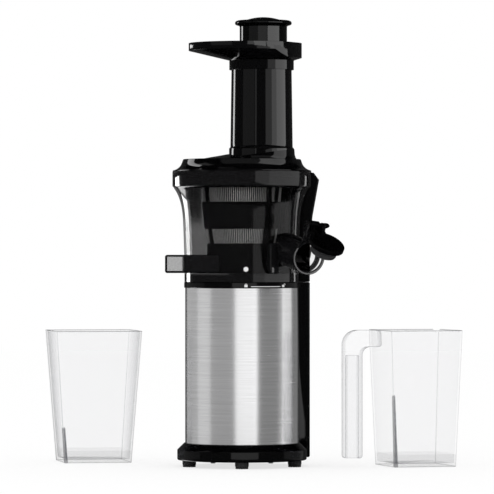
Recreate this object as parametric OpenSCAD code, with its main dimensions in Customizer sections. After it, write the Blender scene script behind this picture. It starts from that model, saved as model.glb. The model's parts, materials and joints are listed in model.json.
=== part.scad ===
// Vertical cold press juicer with its pulp cup and juice jug.
// The origin is at floor level on the axis of the steel body.
// X runs to the right, -Y is the front with the lock marks, Z is up.

/* [Base] */
// Height of the rubber feet
foot_h = 6.2; // [4:0.2:10]
// Radius of a rubber foot
foot_r = 6.5; // [5:0.1:7]
// Number of bottom plate screws between two feet
base_screws = 1; // [1:1:2]
// Radius of the base ring
ring_r = 61.8; // [59:0.1:64]
// Height of the upright band of the base ring
ring_h = 10.1; // [8:0.1:14]
// Height of the bevel above the band
bevel_h = 6.1; // [4:0.1:9]
// Thickness of the bottom plate
plate_t = 2.8; // [2:0.1:4]

/* [Motor body] */
// Outer radius of the steel sleeve
steel_r = 54.2; // [53:0.1:56]
// Thickness of the steel sleeve
steel_t = 0.8; // [0.6:0.1:1.2]
// Visible height of the steel sleeve
steel_h = 148; // [140:1:170]
// Wall of the plastic housing inside the sleeve
housing_t = 2.1; // [1.5:0.1:3]
// Height of the black deck collar
deck_h = 5.4; // [4:0.1:8]
// Radius of the deck collar
deck_r = 55.2; // [54.8:0.1:57]

/* [Rear column] */
// Direction of the column's middle, counted from +X
column_az = 45; // [40:1:60]
// How far the column stands out behind the deck and the bowl
column_depth = 9.6; // [8.5:0.1:14]
// Angle that the column covers at its top
column_angle = 119; // [90:1:130]
// Lean of the column's upright edges
column_lean = 3.6; // [0:0.1:5]
// Wall of the column
column_t = 2.4; // [1.8:0.1:3]
// Number of vent slots
vent_count = 7; // [3:1:9]
// Width of the rocker switch
rocker_w = 12.6; // [10:0.1:15]
// Height of the rocker switch
rocker_h = 19.2; // [16:0.1:22]

/* [Motor and gears] */
// Radius of the stator
stator_r = 38; // [34:0.5:40]
// Length of the stator
stator_h = 40; // [30:1:44]
// Radius of the rotor
rotor_r = 23.5; // [18:0.5:26]
// Radius of the motor shaft
motor_shaft_r = 4; // [3.5:0.1:5]
// Gear module
gear_m = 0.6; // [0.5:0.05:0.6]
// Teeth of the two pinions
pinion_teeth = 13; // [13:2:17]
// Teeth of the two large gears
wheel_teeth = 67; // [61:2:67]
// Radius of the drive shaft
shaft_r = 7; // [6:0.1:8]

/* [Bowl] */
// Outer radius of the bowl's lower part
bowl_r = 54.9; // [54:0.1:56]
// Wall of the bowl
bowl_t = 2.4; // [2:0.1:3]
// Height of the bowl to its rim
bowl_h = 105.4; // [100:0.1:115]
// Radius of the band round the rim
band_r = 66.4; // [66:0.1:69]
// Height of the band
band_h = 14.7; // [12:0.1:18]
// Angle that the bowl turns to unlock
unlock_angle = 41; // [30:1:45]

/* [Strainer and brush] */
// Gap between the bowl's wall and the top of the strainer
strainer_gap = 12.5; // [12:0.1:14.5]
// How much narrower the strainer is at its foot
strainer_taper = 6.8; // [5:0.1:7.4]
// Height of the closed foot of the strainer
strainer_foot_h = 28; // [20:1:32]
// Height of the lower mesh
mesh_low_h = 14.8; // [10:0.1:18]
// Height of the closed band between the meshes
strainer_band_h = 24.8; // [18:0.1:28]
// Height of the upper mesh
mesh_high_h = 21; // [15:0.1:24]
// Wall of the strainer frame
strainer_t = 1.6; // [1.2:0.1:2]
// Gap between the auger's flight and the strainer's foot
auger_gap = 3; // [2.6:0.1:7]
// Radius of the auger's core
core_r = 13; // [11:0.5:15]

/* [Juice spout] */
// Outer radius of the spout pipe
spout_r = 15.5; // [13:0.1:16.5]
// Wall of the spout pipe
spout_t = 2.2; // [1.6:0.1:3]
// Length of the spout pipe along its axis
spout_len = 49; // [40:1:54]
// Direction of the spout, counted from +X
spout_az = -65; // [-70:1:-60]
// Fall of the spout below level
spout_fall = 9; // [5:0.5:15]
// How far the cap stands open at rest
cap_open = 66; // [40:1:80]
// Distance from the mouth's middle up to the cap's hinge
hinge_up = 31; // [28:0.5:34]
// Radius of the cap's hinge pin
hinge_pin_r = 1.25; // [1:0.05:1.5]

/* [Pulp duct] */
// How far the duct reaches past the bowl's side
duct_out = 17.7; // [14:0.1:24]
// How far the duct's front wall lies behind the bowl's front
duct_inset = 3.9; // [3.4:0.1:6]
// Width of the duct from front to back
duct_w = 31; // [24:0.5:34]
// Height of the duct
duct_h = 17.2; // [12:0.1:18]
// Wall of the duct
duct_t = 1.9; // [1.5:0.1:2.5]

/* [Lid, chute and pusher] */
// Height of the lid above the bowl's rim
lid_h = 11.4; // [10:0.1:16]
// Radius of the lid's flat top
lid_top_r = 56.5; // [55:0.1:58]
// Distance from the axis to the chute's middle
chute_x = 18.7; // [15:0.1:20]
// Outer radius at the chute's foot
chute_r = 29.8; // [28:0.1:30]
// Taper of the chute from foot to top
chute_taper = 1.2; // [0.5:0.1:2]
// Inner radius of the chute
chute_bore = 25; // [23.8:0.1:25.4]
// Height of the chute above the lid
chute_h = 92; // [85:1:110]
// Radius of the pusher
pusher_r = 22.6; // [20:0.1:22.8]
// Radius of the pusher's flange
flange_r = 27.1; // [25:0.1:29]

/* [Hopper tray] */
// Radius of the tray
tray_r = 54; // [48:0.5:58]
// Height of the tray's front wall
tray_wall_h = 7.2; // [6:0.1:12]
// Depth of the funnel below the wall
tray_funnel_h = 10.3; // [6:0.1:12]
// Height of the collar round the chute
collar_h = 10; // [8:0.5:16]
// Wall of the tray
tray_t = 2.2; // [1.8:0.1:3]

/* [Cups] */
// Height of the pulp cup
pulp_h = 128; // [110:1:140]
// Width of the pulp cup at its rim
pulp_top = 85; // [78:0.5:90]
// Width of the pulp cup at its foot
pulp_foot = 66; // [60:0.5:70]
// Height of the juice jug
jug_h = 130; // [120:1:140]
// Width of the juice jug at its rim
jug_top = 73; // [68:0.5:80]
// Width of the juice jug at its foot
jug_foot = 62; // [56:0.5:66]
// Wall of the cups
cup_t = 2; // [1.6:0.1:3]
// Thickness of the cups' floors
cup_floor = 3.4; // [2:0.1:5]
// Thickness of the jug's handle
handle_w = 17; // [12:0.5:20]
// Gap between the handle and the jug's foot
handle_gap = 24; // [20:0.5:30]

/* [Hidden] */
$fn = 96;
FINE = 32;
EPS = 0.01;

// Gaps between moving pieces, and in running fits
gap = 0.3;
run = 0.05;

// Levels, from the floor up
z_ring = foot_h;
z_bevel = z_ring + ring_h;
z_steel = z_bevel + bevel_h;
z_deck = z_steel + steel_h;
z_deck_top = z_deck + deck_h;
z_bowl = z_deck_top + 0.2;
z_rim = z_bowl + bowl_h;
z_band = z_rim - band_h;
z_floor = z_bowl + 5.6;
floor_t = 2.5;
z_strainer = z_floor + floor_t;
z_mesh1 = z_strainer + strainer_foot_h;
z_mesh1_top = z_mesh1 + mesh_low_h;
z_mesh2 = z_mesh1_top + strainer_band_h;
z_mesh2_top = z_mesh2 + mesh_high_h;
z_lid = z_rim + 0.2;
z_lid_top = z_lid + lid_h;
mound_h = 3;
z_chute = z_lid_top + mound_h;
z_chute_top = z_chute + chute_h;
z_tray = z_chute_top + 0.2;
z_tray_wall = z_tray + tray_funnel_h - 2;
z_tray_top = z_tray_wall + tray_wall_h;
z_pusher = z_chute + 3;
pusher_above = 16.3;
z_flange = z_tray_top + pusher_above;
flange_h = 5.4;
dome_h = 3.2;

// The base
lip_h = 3.4;
z_sleeve = z_steel - lip_h;
housing_r = steel_r - steel_t;
housing_in = housing_r - housing_t;
flange_in = housing_in - 6;
foot_ring_r = ring_r - foot_r - 2.6;
foot_at = [-90, -18, 90, 198];
foot_gap = [for (i = [0 : 3]) (foot_at[(i + 1) % 4] - foot_at[i] + 360) % 360];
plate_r = housing_in - 2.4;
base_screw_r = plate_r - 2.4;
base_screw_at = [for (i = [0 : 3]) for (k = [1 : base_screws])
    foot_at[i] + foot_gap[i] * k / (base_screws + 1)];
screw_r = 1.45;

// The motor and its gears, on the axis
z_bracket = z_ring + 18;
bracket_t = 3;
bearing_r = 9.5;
bearing_h = 6;
z_stator = z_bracket + 28;
z_case = z_stator + stator_h + 9;
case_floor = 4;
case_r = housing_in - 2.8;
case_t = 2.4;
case_h = 47;
lid_plate_t = 4;
boss_h = 3;
z_case_top = z_case + case_h;
case_screw_r = case_r - 4.2;
post_r = 3.4;
screw_depth = 9;
screw_free_r = 1.7;
hub_wall = 2.5;
air_gap = 0.5;
coil_edge = 1.5;
coil_h = 4;
pressure = 25;
addendum = gear_m;
dedendum = 1.25 * gear_m;
pinion_pr = gear_m * pinion_teeth / 2;
wheel_pr = gear_m * wheel_teeth / 2;
idler_d = pinion_pr + wheel_pr;
idler_az = column_az + 180;
case_screw_az = idler_az + 45;
backlash = 0.12;
board_x = stator_r + 7;
board_t = 1.6;
pinion_h = 11;
wheel_h = 9;
z_gear1 = z_case + case_floor + 2;
z_gear2 = z_gear1 + pinion_h + 3;
axle_r = 2;
hex_r = 6.6;
hex_h = 26;

// The column and the rocker switch
column_r = max(deck_r, bowl_r) + column_depth;
column_top_gap = 0.1;
z_column = z_ring + 2.6;
z_column_top = z_deck_top - column_top_gap;
pad_r = column_r + 0.5;
z_switch = z_steel + 39.6;
bezel_t = 1.8;
bezel_w = 3.2;
pad_w = rocker_w + 2 * bezel_w + 2.8;
pad_h = rocker_h + 10;
gland_z = z_steel + 8;
gland_r = 5.2;
gland_bore = 3.6;
gland_len = 11;
rod_r = 1.2;
rod_low = column_r - 4.2;
rod_high = band_r + 2;
rod_travel = 3;
crank_h = 18;
z_crank = z_band - crank_h - 1;

// The bowl's outer line: straight, then flaring up to the band
flare_start = 0.45 * (bowl_h - band_h);
flare_h = bowl_h - band_h - flare_start - 1.6;
flare_r = band_r - bowl_r - 3.9;
flare_power = 4.2;
slope = 0.033;
flare_steps = 14;
function bowl_line(z) = let (rise = max(0, z - z_bowl - 20), up = max(0, z - z_bowl - flare_start))
    bowl_r + slope * rise + flare_r * pow(up / flare_h, flare_power);
bowl_out = concat(
    [[bowl_r, z_bowl], [bowl_r, z_bowl + 20]],
    [for (i = [0 : flare_steps]) let (z = z_bowl + flare_start + flare_h * i / flare_steps)
        [bowl_line(z), z]],
    [[band_r, z_band], [band_r, z_rim]]);
function shifted(points, dr) = [for (p = points) [p[0] - dr, p[1]]];
function reversed(points) = [for (i = [len(points) - 1 : -1 : 0]) points[i]];

// The bayonet between deck and bowl
lug_count = 3;
lug_angle = 24;
lug_in = bowl_r - 8.4;
lug_out = bowl_r - 5.2;
z_lug = z_deck_top + 2.7;

// The spout and its cap
lip_r = spout_r + 1;
lip_len = 3.6;
spout_roll = 7;
mouth = [63, -80, z_bowl + 23.2];
hinge_out = 2;
cap_r = spout_r + 1.8;
cap_t = 3.2;
plug_r = spout_r - spout_t - 0.7;
plug_len = 9.5;
ear_y = 7;
ear_t = 2.4;
barrel_r = 2.9;
tab_out = 6.4;
tab_t = 2.3;

z_duct = z_strainer + 0.5;
duct_front = bowl_r - duct_inset;
duct_reach = bowl_r + duct_out;
duct_right = sqrt(pow(bowl_r, 2) - pow(duct_front, 2));

collar_r = chute_r + 1;
collar_bore = chute_r - chute_taper + 0.4;
tray_x = chute_x - 15.6;

// Cups: middle and turn about the upright axis
pulp_at = [-145, 90, 0];
pulp_turn = 10;
jug_at = [166, 10, 0];
jug_turn = 16;
corner_r = 4;
handle_top = 16;
handle_foot = 8;

// Colours
BLACK = [0.03, 0.03, 0.035];
SMOKE = [0.13, 0.13, 0.14, 0.75];
STEEL = [0.75, 0.75, 0.76];
RUBBER = [0.08, 0.08, 0.08];
CLEAR = [0.85, 0.88, 0.9, 0.35];
WHITE = [0.95, 0.95, 0.95];
BRASS = [0.78, 0.62, 0.3];
COPPER = [0.72, 0.4, 0.22];
NYLON = [0.86, 0.84, 0.78];
GREEN = [0.1, 0.35, 0.2];

// ---- helpers ----

module tube(r_out, r_in, h) {
    difference() {
        cylinder(r = r_out, h = h);
        translate([0, 0, -1]) cylinder(r = r_in, h = h + 2);
    }
}

module around(count, r, start = 0) {
    for (i = [0 : count - 1]) rotate([0, 0, start + 360 * i / count]) translate([r, 0, 0]) children();
}

module at_angles(angles, r) {
    for (a = angles) rotate([0, 0, a]) translate([r, 0, 0]) children();
}

// A wedge of a ring, from the angle a0 to the angle a1
module ring_sector(r_out, r_in, h, a0, a1) {
    rotate([0, 0, a0]) rotate_extrude(angle = a1 - a0)
        translate([r_in, 0]) square([r_out - r_in, h]);
}

// Half a tooth gap narrows the flank by the backlash
function involute(r_base, r) = let (t = sqrt(max(0, pow(r / r_base, 2) - 1))) t * 180 / PI - atan(t);
function tooth(teeth, i) = let (
        pr = gear_m * teeth / 2,
        rb = pr * cos(pressure),
        half = 90 / teeth - backlash / pr * 90 / PI + involute(rb, pr),
        root = pr - dedendum,
        tip = pr + addendum,
        middle = (max(rb, root) + tip) / 2,
        a = 360 * i / teeth,
        left = [for (r = [max(rb, root), middle, tip]) [r, a - half + involute(rb, r)]],
        right = [for (r = [tip, middle, max(rb, root)]) [r, a + half - involute(rb, r)]])
    root < rb ? concat([[root, a - half]], left, right, [[root, a + half]]) : concat(left, right);
function gear_points(teeth) = [for (i = [0 : teeth - 1], p = tooth(teeth, i)) p[0] * [cos(p[1]), sin(p[1])]];

module gear(teeth, h, bore) {
    difference() {
        linear_extrude(height = h) polygon(gear_points(teeth));
        translate([0, 0, -1]) cylinder(r = bore, h = h + 2);
    }
}

module column_frame() rotate([0, 0, column_az]) children();

// Local axes at the spout's mouth: -X is up, Y is the hinge line, Z points out of the spout
module spout_frame() {
    translate(mouth) rotate([0, 90 + spout_fall, spout_az]) rotate([0, 0, -spout_roll]) children();
}

module cap_frame() {
    spout_frame() translate([-hinge_up, 0, hinge_out]) rotate([0, -cap_open, 0])
        translate([hinge_up, 0, -hinge_out]) children();
}

// ---- base ----

module base_ring() {
    color(BLACK) difference() {
        rotate_extrude() polygon([
            [plate_r + 0.1, z_ring], [ring_r - 0.6, z_ring], [ring_r, z_ring + 0.8], [ring_r, z_bevel - 0.6],
            [ring_r - 0.5, z_bevel], [steel_r + 1, z_steel], [steel_r + 0.1, z_steel],
            [steel_r + 0.1, z_sleeve], [flange_in, z_sleeve], [flange_in, z_ring + plate_t],
            [plate_r + 0.1, z_ring + plate_t]]);
        at_angles(foot_at, foot_ring_r) translate([0, 0, z_ring - 1]) cylinder(r = 2.6, h = 5);
        at_angles(base_screw_at, base_screw_r) translate([0, 0, z_ring]) cylinder(r = screw_r, h = 11);
    }
}

module rubber_feet() {
    color(RUBBER) at_angles(foot_at, foot_ring_r) {
        rotate_extrude() polygon([[0, 0], [foot_r - 0.8, 0], [foot_r, 0.8], [foot_r, z_ring], [0, z_ring]]);
        translate([0, 0, z_ring - EPS]) cylinder(r = 2.6, h = 3.5);
    }
}

module bottom_plate() {
    color(BLACK) difference() {
        translate([0, 0, z_ring]) cylinder(r = plate_r, h = plate_t);
        at_angles(base_screw_at, base_screw_r) translate([0, 0, z_ring - 1])
            cylinder(r = screw_free_r, h = plate_t + 2);
        for (x = [-24 : 8 : 24]) translate([x - 1.5, -20, z_ring - 1]) cube([3, 40, plate_t + 2]);
    }
}

module bottom_screws() {
    color(STEEL) at_angles(base_screw_at, base_screw_r) {
        translate([0, 0, z_ring - 1.6]) cylinder(r = 2.3, h = 1.6);
        translate([0, 0, z_ring - EPS]) cylinder(r = screw_r, h = 10);
    }
}

module steel_sleeve() {
    color(STEEL) difference() {
        translate([0, 0, z_sleeve]) tube(steel_r, steel_r - steel_t, z_deck - z_sleeve);
        column_frame() translate([40, -9, z_switch - 13]) cube([20, 18, 26]);
        column_frame() translate([40, 0, gland_z]) rotate([0, 90, 0]) cylinder(r = gland_bore, h = 20);
    }
}

module inner_housing() {
    color(BLACK) difference() {
        union() {
            translate([0, 0, z_sleeve]) tube(housing_r, housing_in, z_deck - z_sleeve);
            translate([0, 0, z_case - 4]) tube(housing_in + EPS, flange_in - 3, 4);
            // Rails that hold the control board
            intersection() {
                rotate([0, 0, idler_az]) for (y = [-14, 14])
                    translate([board_x + board_t, y - 1, z_bracket + bracket_t]) cube([8, 2, 52]);
                cylinder(r = housing_in + EPS, h = z_deck);
            }
        }
        column_frame() translate([40, -9, z_switch - 13]) cube([20, 18, 26]);
        column_frame() translate([40, 0, gland_z]) rotate([0, 90, 0]) cylinder(r = gland_bore, h = 20);
    }
}

module top_deck() {
    color(BLACK) difference() {
        union() {
            translate([0, 0, z_deck]) rotate_extrude() polygon([
                [0, 0], [deck_r - 0.3, 0], [deck_r, 0.3], [deck_r, deck_h - 0.5], [deck_r - 0.5, deck_h],
                [lug_in, deck_h], [lug_in, deck_h + 5.2], [lug_in - 3, deck_h + 5.2], [lug_in - 3, deck_h],
                [0, deck_h]]);
            for (i = [0 : lug_count - 1]) rotate([0, 0, -90 + 360 * i / lug_count]) translate([0, 0, z_lug])
                ring_sector(lug_out - gap, lug_in - 1, z_deck_top + 5.2 - z_lug,
                    -lug_angle / 2, lug_angle / 2);
        }
        translate([0, 0, z_deck - 1]) cylinder(r = shaft_r + 3, h = deck_h + 2);
        translate([0, 0, z_deck - 1]) tube(housing_in - 3, shaft_r + 8, deck_h - 1.6);
    }
}

// A padlock, with its bow shut or swung open
module padlock(open) {
    translate([-1.5, 0]) square([3, 2.1]);
    translate([open ? 1.9 : 0, 2.1]) difference() {
        circle(r = 1.15, $fn = FINE);
        circle(r = 0.7, $fn = FINE);
        translate([-2, -3]) square([4, 3]);
    }
}

module deck_print(angle) {
    intersection() {
        translate([0, 0, z_deck]) tube(deck_r + 0.12, deck_r, deck_h);
        rotate([0, 0, angle]) translate([deck_r - 2, 0, z_deck + 0.9]) rotate([90, 0, 90])
            linear_extrude(height = 4) children();
    }
}

module lock_marks() {
    color(WHITE) {
        deck_print(-86) padlock(false);
        deck_print(-86 + unlock_angle) padlock(true);
        translate([0, 0, z_deck + 1.1])
            ring_sector(deck_r + 0.12, deck_r, 0.6, -86 + 5, -86 + unlock_angle - 4);
    }
}

module rear_column() {
    lean_half = column_angle / 2 - 5;
    color(BLACK) difference() {
        union() {
            column_frame() rotate([0, 0, -column_angle / 2])
                rotate_extrude(angle = column_angle) difference() {
                polygon([[steel_r + 0.1, z_column], [column_r - 1, z_column], [column_r, z_column + 1],
                    [column_r, z_column_top - 0.8], [column_r - 0.8, z_column_top],
                    [deck_r + 0.2, z_column_top], [deck_r + 0.2, z_deck - 0.2],
                    [steel_r + 0.1, z_deck - 0.2]]);
                polygon([[steel_r, z_column + column_t], [column_r - column_t, z_column + column_t],
                    [column_r - column_t, z_column_top - column_t], [deck_r + 1.8, z_column_top - column_t],
                    [deck_r + 1.8, z_deck - 2], [steel_r, z_deck - 2]]);
            }
            // Leaning side walls
            intersection() {
                column_frame() rotate([0, 0, -column_angle / 2]) rotate_extrude(angle = column_angle)
                    polygon([[steel_r + 0.1, z_column + 1], [column_r - 1, z_column + 1],
                        [column_r - 1, z_column_top - 1], [deck_r + 0.2, z_column_top - 1],
                        [deck_r + 0.2, z_deck - 0.2], [steel_r + 0.1, z_deck - 0.2]]);
                column_frame() for (side = [-1, 1]) rotate([0, 0, side * lean_half])
                    translate([0, 0, (z_column + z_column_top) / 2]) rotate([-side * column_lean, 0, 0])
                        translate([50, -side * 1.2 - 1.2, -120]) cube([20, 2.4, 240]);
            }
            // Pad behind the switch
            column_frame() translate([column_r - 3, -pad_w / 2, z_switch - pad_h / 2])
                cube([pad_r - column_r + 3, pad_w, pad_h]);
        }
        // Room for the base ring and its bevel
        rotate_extrude() polygon([[0, 0], [ring_r + 0.15, 0], [ring_r + 0.15, z_bevel],
            [steel_r + 1.2, z_steel + 0.2], [steel_r + 0.1, z_steel + 0.4], [0, z_steel + 0.4]]);
        // What lies outside the leaning edges
        column_frame() for (side = [-1, 1]) rotate([0, 0, side * lean_half])
            translate([0, 0, (z_column + z_column_top) / 2]) rotate([-side * column_lean, 0, 0])
                translate([40, side > 0 ? 1.2 : -41.2, -120]) cube([50, 40, 240]);
        column_frame() translate([50, -rocker_w / 2 - 0.6, z_switch - rocker_h / 2 - 0.6])
            cube([30, rocker_w + 1.2, rocker_h + 1.2]);
        column_frame() translate([50, 0, gland_z]) rotate([0, 90, 0]) cylinder(r = gland_r, h = 30);
        column_frame() translate([rod_low, 0, z_column_top - 10]) cylinder(r = rod_r + 1, h = 20);
        column_frame() for (i = [0 : vent_count - 1]) translate([55, -14, 90 + 8 * i]) cube([20, 28, 3]);
    }
}

module switch_bezel() {
    color(BLACK) column_frame() translate([pad_r, 0, z_switch]) rotate([0, 90, 0]) rotate([0, 0, 90])
        difference() {
            translate([-rocker_w / 2 - bezel_w, -rocker_h / 2 - bezel_w, 0])
                cube([rocker_w + 2 * bezel_w, rocker_h + 2 * bezel_w, bezel_t]);
            translate([-rocker_w / 2, -rocker_h / 2, -1]) cube([rocker_w, rocker_h, bezel_t + 2]);
        }
}

module switch_body() {
    color(BLACK) column_frame() difference() {
        translate([47, -rocker_w / 2 - 0.6, z_switch - rocker_h / 2 - 0.6])
            cube([pad_r - 47, rocker_w + 1.2, rocker_h + 1.2]);
        translate([55, -rocker_w / 2 + 0.6, z_switch - rocker_h / 2 + 0.6])
            cube([20, rocker_w - 1.2, rocker_h - 1.2]);
    }
}

module rocker() {
    color(BLACK) column_frame() translate([pad_r - 3.4, rocker_w / 2 - 1.2, z_switch])
        rotate([90, 0, 0]) linear_extrude(height = rocker_w - 2.4) polygon([
            [-3, -5.5], [3.6, -8.2], [4.7, -7.9], [4.2, 0], [4.7, 7.9], [3.6, 8.2], [-3, 5.5]]);
}

module cord_gland() {
    color(RUBBER) column_frame() translate([steel_r + 0.1, 0, gland_z]) rotate([0, 90, 0])
        difference() {
            union() {
                cylinder(r = gland_r, h = column_r - steel_r + 1.6);
                translate([0, 0, column_r - steel_r]) cylinder(r = gland_r + 1.6, h = 1.8);
                translate([0, 0, column_r - steel_r + 1.7])
                    cylinder(r1 = gland_r, r2 = gland_r - 0.9, h = gland_len - 5);
            }
            translate([0, 0, -1]) cylinder(r = gland_bore, h = 40);
        }
}

module interlock_switch() {
    color(BLACK) column_frame() {
        translate([rod_low - 3.4, -8, z_deck - 12]) cube([4.4, 16, 9]);
        translate([rod_low, 0, z_deck - 4]) cylinder(r = 1.4, h = z_deck_top - z_deck + 3.9);
        for (y = [-5, 5]) translate([steel_r + 0.1, y - 1, z_deck - 10])
            cube([rod_low - 3.4 - steel_r, 2, 4]);
    }
}

// ---- motor and gearbox ----

module motor_can() {
    color(STEEL) difference() {
        translate([0, 0, z_bracket + bracket_t])
            tube(stator_r + 1.5, stator_r, z_case - z_bracket - bracket_t);
        for (a = [0 : 45 : 315]) rotate([0, 0, a]) translate([stator_r - 5, -4, z_bracket + 8])
            cube([10, 8, 12]);
    }
}

module motor_stator() {
    color(STEEL) translate([0, 0, z_stator]) tube(stator_r, rotor_r + air_gap, stator_h);
}

module motor_windings() {
    coil_in = rotor_r + coil_edge;
    coil_out = stator_r - coil_edge;
    color(COPPER) for (z = [z_stator - coil_h, z_stator + stator_h + coil_h]) translate([0, 0, z])
        rotate_extrude() polygon([
            [coil_in + coil_edge, -coil_h], [coil_out - coil_edge, -coil_h], [coil_out, coil_edge - coil_h],
            [coil_out, coil_h - coil_edge], [coil_out - coil_edge, coil_h], [coil_in + coil_edge, coil_h],
            [coil_in, coil_h - coil_edge], [coil_in, coil_edge - coil_h]]);
}

module motor_bracket() {
    color(STEEL) difference() {
        translate([0, 0, z_bracket]) union() {
            cylinder(r = housing_in, h = bracket_t);
            cylinder(r = bearing_r + 2.5, h = bearing_h + 2);
        }
        translate([0, 0, z_bracket + 2]) cylinder(r = bearing_r, h = bearing_h + 2);
        translate([0, 0, z_bracket - 1]) cylinder(r = motor_shaft_r + 1, h = 12);
        around(6, 26) translate([0, 0, z_bracket - 1]) cylinder(r = 7.5, h = bracket_t + 2);
    }
}

module motor_bearings() {
    color(STEEL) for (z = [z_bracket + 2, z_case - 5]) translate([0, 0, z])
        tube(bearing_r, motor_shaft_r + run, bearing_h);
}

module gearbox_case() {
    color(BLACK) difference() {
        union() {
            translate([0, 0, z_case]) cylinder(r = case_r, h = case_floor);
            translate([0, 0, z_case]) tube(case_r, case_r - case_t, case_h);
            translate([0, 0, z_case - bearing_h + 1]) cylinder(r = bearing_r + hub_wall, h = bearing_h);
            around(4, case_screw_r, case_screw_az) translate([0, 0, z_case + 1])
                cylinder(r = post_r, h = case_h - 1);
        }
        translate([0, 0, z_case - bearing_h]) cylinder(r = bearing_r, h = bearing_h + 1);
        translate([0, 0, z_case - bearing_h])
            cylinder(r = motor_shaft_r + 2 * gap, h = 2 * bearing_h + case_floor);
        rotate([0, 0, idler_az]) translate([idler_d, 0, z_case - 1]) cylinder(r = axle_r, h = case_floor + 2);
        around(4, case_screw_r, case_screw_az) translate([0, 0, z_case_top - screw_depth - 1])
            cylinder(r = screw_r, h = screw_depth + 2);
    }
}

module gearbox_lid() {
    color(BLACK) difference() {
        union() {
            translate([0, 0, z_case_top]) cylinder(r = case_r, h = lid_plate_t);
            translate([0, 0, z_case_top - boss_h]) cylinder(r = shaft_r + 7 + hub_wall, h = boss_h + 2);
        }
        translate([0, 0, z_case_top - boss_h / 2]) cylinder(r = shaft_r + 7, h = boss_h + lid_plate_t);
        translate([0, 0, z_case_top - boss_h - 1]) cylinder(r = shaft_r + 2 * gap, h = boss_h + lid_plate_t);
        rotate([0, 0, idler_az]) translate([idler_d, 0, z_case_top - 1])
            cylinder(r = axle_r, h = lid_plate_t + 2);
        around(4, case_screw_r, case_screw_az) translate([0, 0, z_case_top - 1])
            cylinder(r = screw_free_r, h = lid_plate_t + 2);
    }
}

module gearbox_screws() {
    color(STEEL) around(4, case_screw_r, case_screw_az) translate([0, 0, z_case_top + lid_plate_t]) {
        cylinder(r = 2 * screw_r, h = 2);
        translate([0, 0, -lid_plate_t - screw_depth])
            cylinder(r = screw_r, h = lid_plate_t + screw_depth + EPS);
    }
}

module idler_axle() {
    color(STEEL) rotate([0, 0, idler_az]) translate([idler_d, 0, z_case])
        cylinder(r = axle_r, h = case_h + lid_plate_t);
}

module output_bearing() {
    color(STEEL) translate([0, 0, z_case_top - boss_h / 2])
        tube(shaft_r + 7, shaft_r + run, boss_h / 2 + lid_plate_t);
}

module deck_seal() {
    color(RUBBER) translate([0, 0, z_deck + deck_h - 3]) tube(shaft_r + 3, shaft_r + 0.1, 3);
}

module control_board() {
    color(GREEN) rotate([0, 0, idler_az]) {
        translate([board_x, -17, z_bracket + bracket_t + 2]) cube([board_t, 34, 44]);
        translate([board_x - 3.4, -12, z_bracket + 12]) cube([3.5, 10, 10]);
        translate([board_x - 2.6, 2, z_bracket + 24]) cube([2.7, 9, 14]);
    }
}

// ---- turning pieces ----

module rotor_core() {
    color(STEEL) translate([0, 0, z_stator]) tube(rotor_r, motor_shaft_r, stator_h);
}

module motor_shaft() {
    color(STEEL) {
        translate([0, 0, z_bracket + 2]) cylinder(r = motor_shaft_r, h = z_gear1 - z_bracket - 2.5);
        translate([0, 0, z_gear1 - 1]) cylinder(r = pinion_pr - dedendum - 0.1, h = 2);
        rotate([0, 0, idler_az]) translate([0, 0, z_gear1]) linear_extrude(height = pinion_h)
            polygon(gear_points(pinion_teeth));
    }
}

module cooling_fan() {
    blades = 9;
    z_fan = z_bracket + bearing_h + 5;
    color(NYLON) {
        translate([0, 0, z_fan]) tube(9, motor_shaft_r, 7);
        translate([0, 0, z_fan]) tube(stator_r - 4, 8.5, 1.4);
        around(blades, 8.5) translate([0, -0.7, z_fan + 1]) cube([stator_r - 14, 1.4, 6]);
    }
}

module idler_gears() {
    color(NYLON) rotate([0, 0, idler_az]) translate([idler_d, 0, 0]) {
        translate([0, 0, z_gear1 + 1]) gear(wheel_teeth, wheel_h, axle_r + run);
        translate([0, 0, z_gear1 + wheel_h + 1 - EPS])
            tube(pinion_pr - dedendum, axle_r + run, z_gear2 - z_gear1 - wheel_h);
        translate([0, 0, z_gear2]) rotate([0, 0, 180]) gear(pinion_teeth, pinion_h, axle_r + run);
    }
}

module output_gear() {
    color(NYLON) rotate([0, 0, idler_az + 180]) translate([0, 0, z_gear2 + 1])
        gear(wheel_teeth, wheel_h, shaft_r);
}

module drive_shaft() {
    color(STEEL) {
        translate([0, 0, z_gear2 + 1]) cylinder(r = shaft_r, h = z_floor - z_gear2);
        translate([0, 0, z_floor]) cylinder(r = hex_r, h = hex_h, $fn = 6);
        translate([0, 0, z_gear2 + wheel_h + 1]) tube(shaft_r + 2, shaft_r, 3);
    }
}

module auger() {
    auger_h = z_mesh2_top - z_strainer - brush_below - 1;
    flight_t = 5.2;
    color(BLACK) translate([0, 0, z_strainer + 5]) difference() {
        union() {
            cylinder(r = auger_r - strainer_t - 2 * EPS, h = 4);
            translate([0, 0, 3])
                linear_extrude(height = auger_h, twist = -420, slices = 36, scale = 0.86, $fn = 8) {
                    circle(r = core_r, $fn = 20);
                    translate([-auger_r, -flight_t / 2]) square([2 * auger_r, flight_t]);
                }
        }
        translate([0, 0, -1]) cylinder(r = hex_r, h = z_floor + hex_h - z_strainer - 4, $fn = 6);
    }
}

// ---- bowl ----

module bowl_solid() rotate_extrude() polygon(concat([[0, z_bowl]], bowl_out, [[0, z_rim]]));

module spout_bore() {
    spout_frame() translate([0, 0, -spout_len - 40]) cylinder(r = spout_r - spout_t, h = spout_len + 60);
}

module duct_bore() {
    translate([-duct_reach - 20, -duct_front + duct_t, z_duct + duct_t])
        cube([duct_reach + 20 - duct_right - duct_t, duct_w - 2 * duct_t, duct_h - 2 * duct_t]);
}

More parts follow.
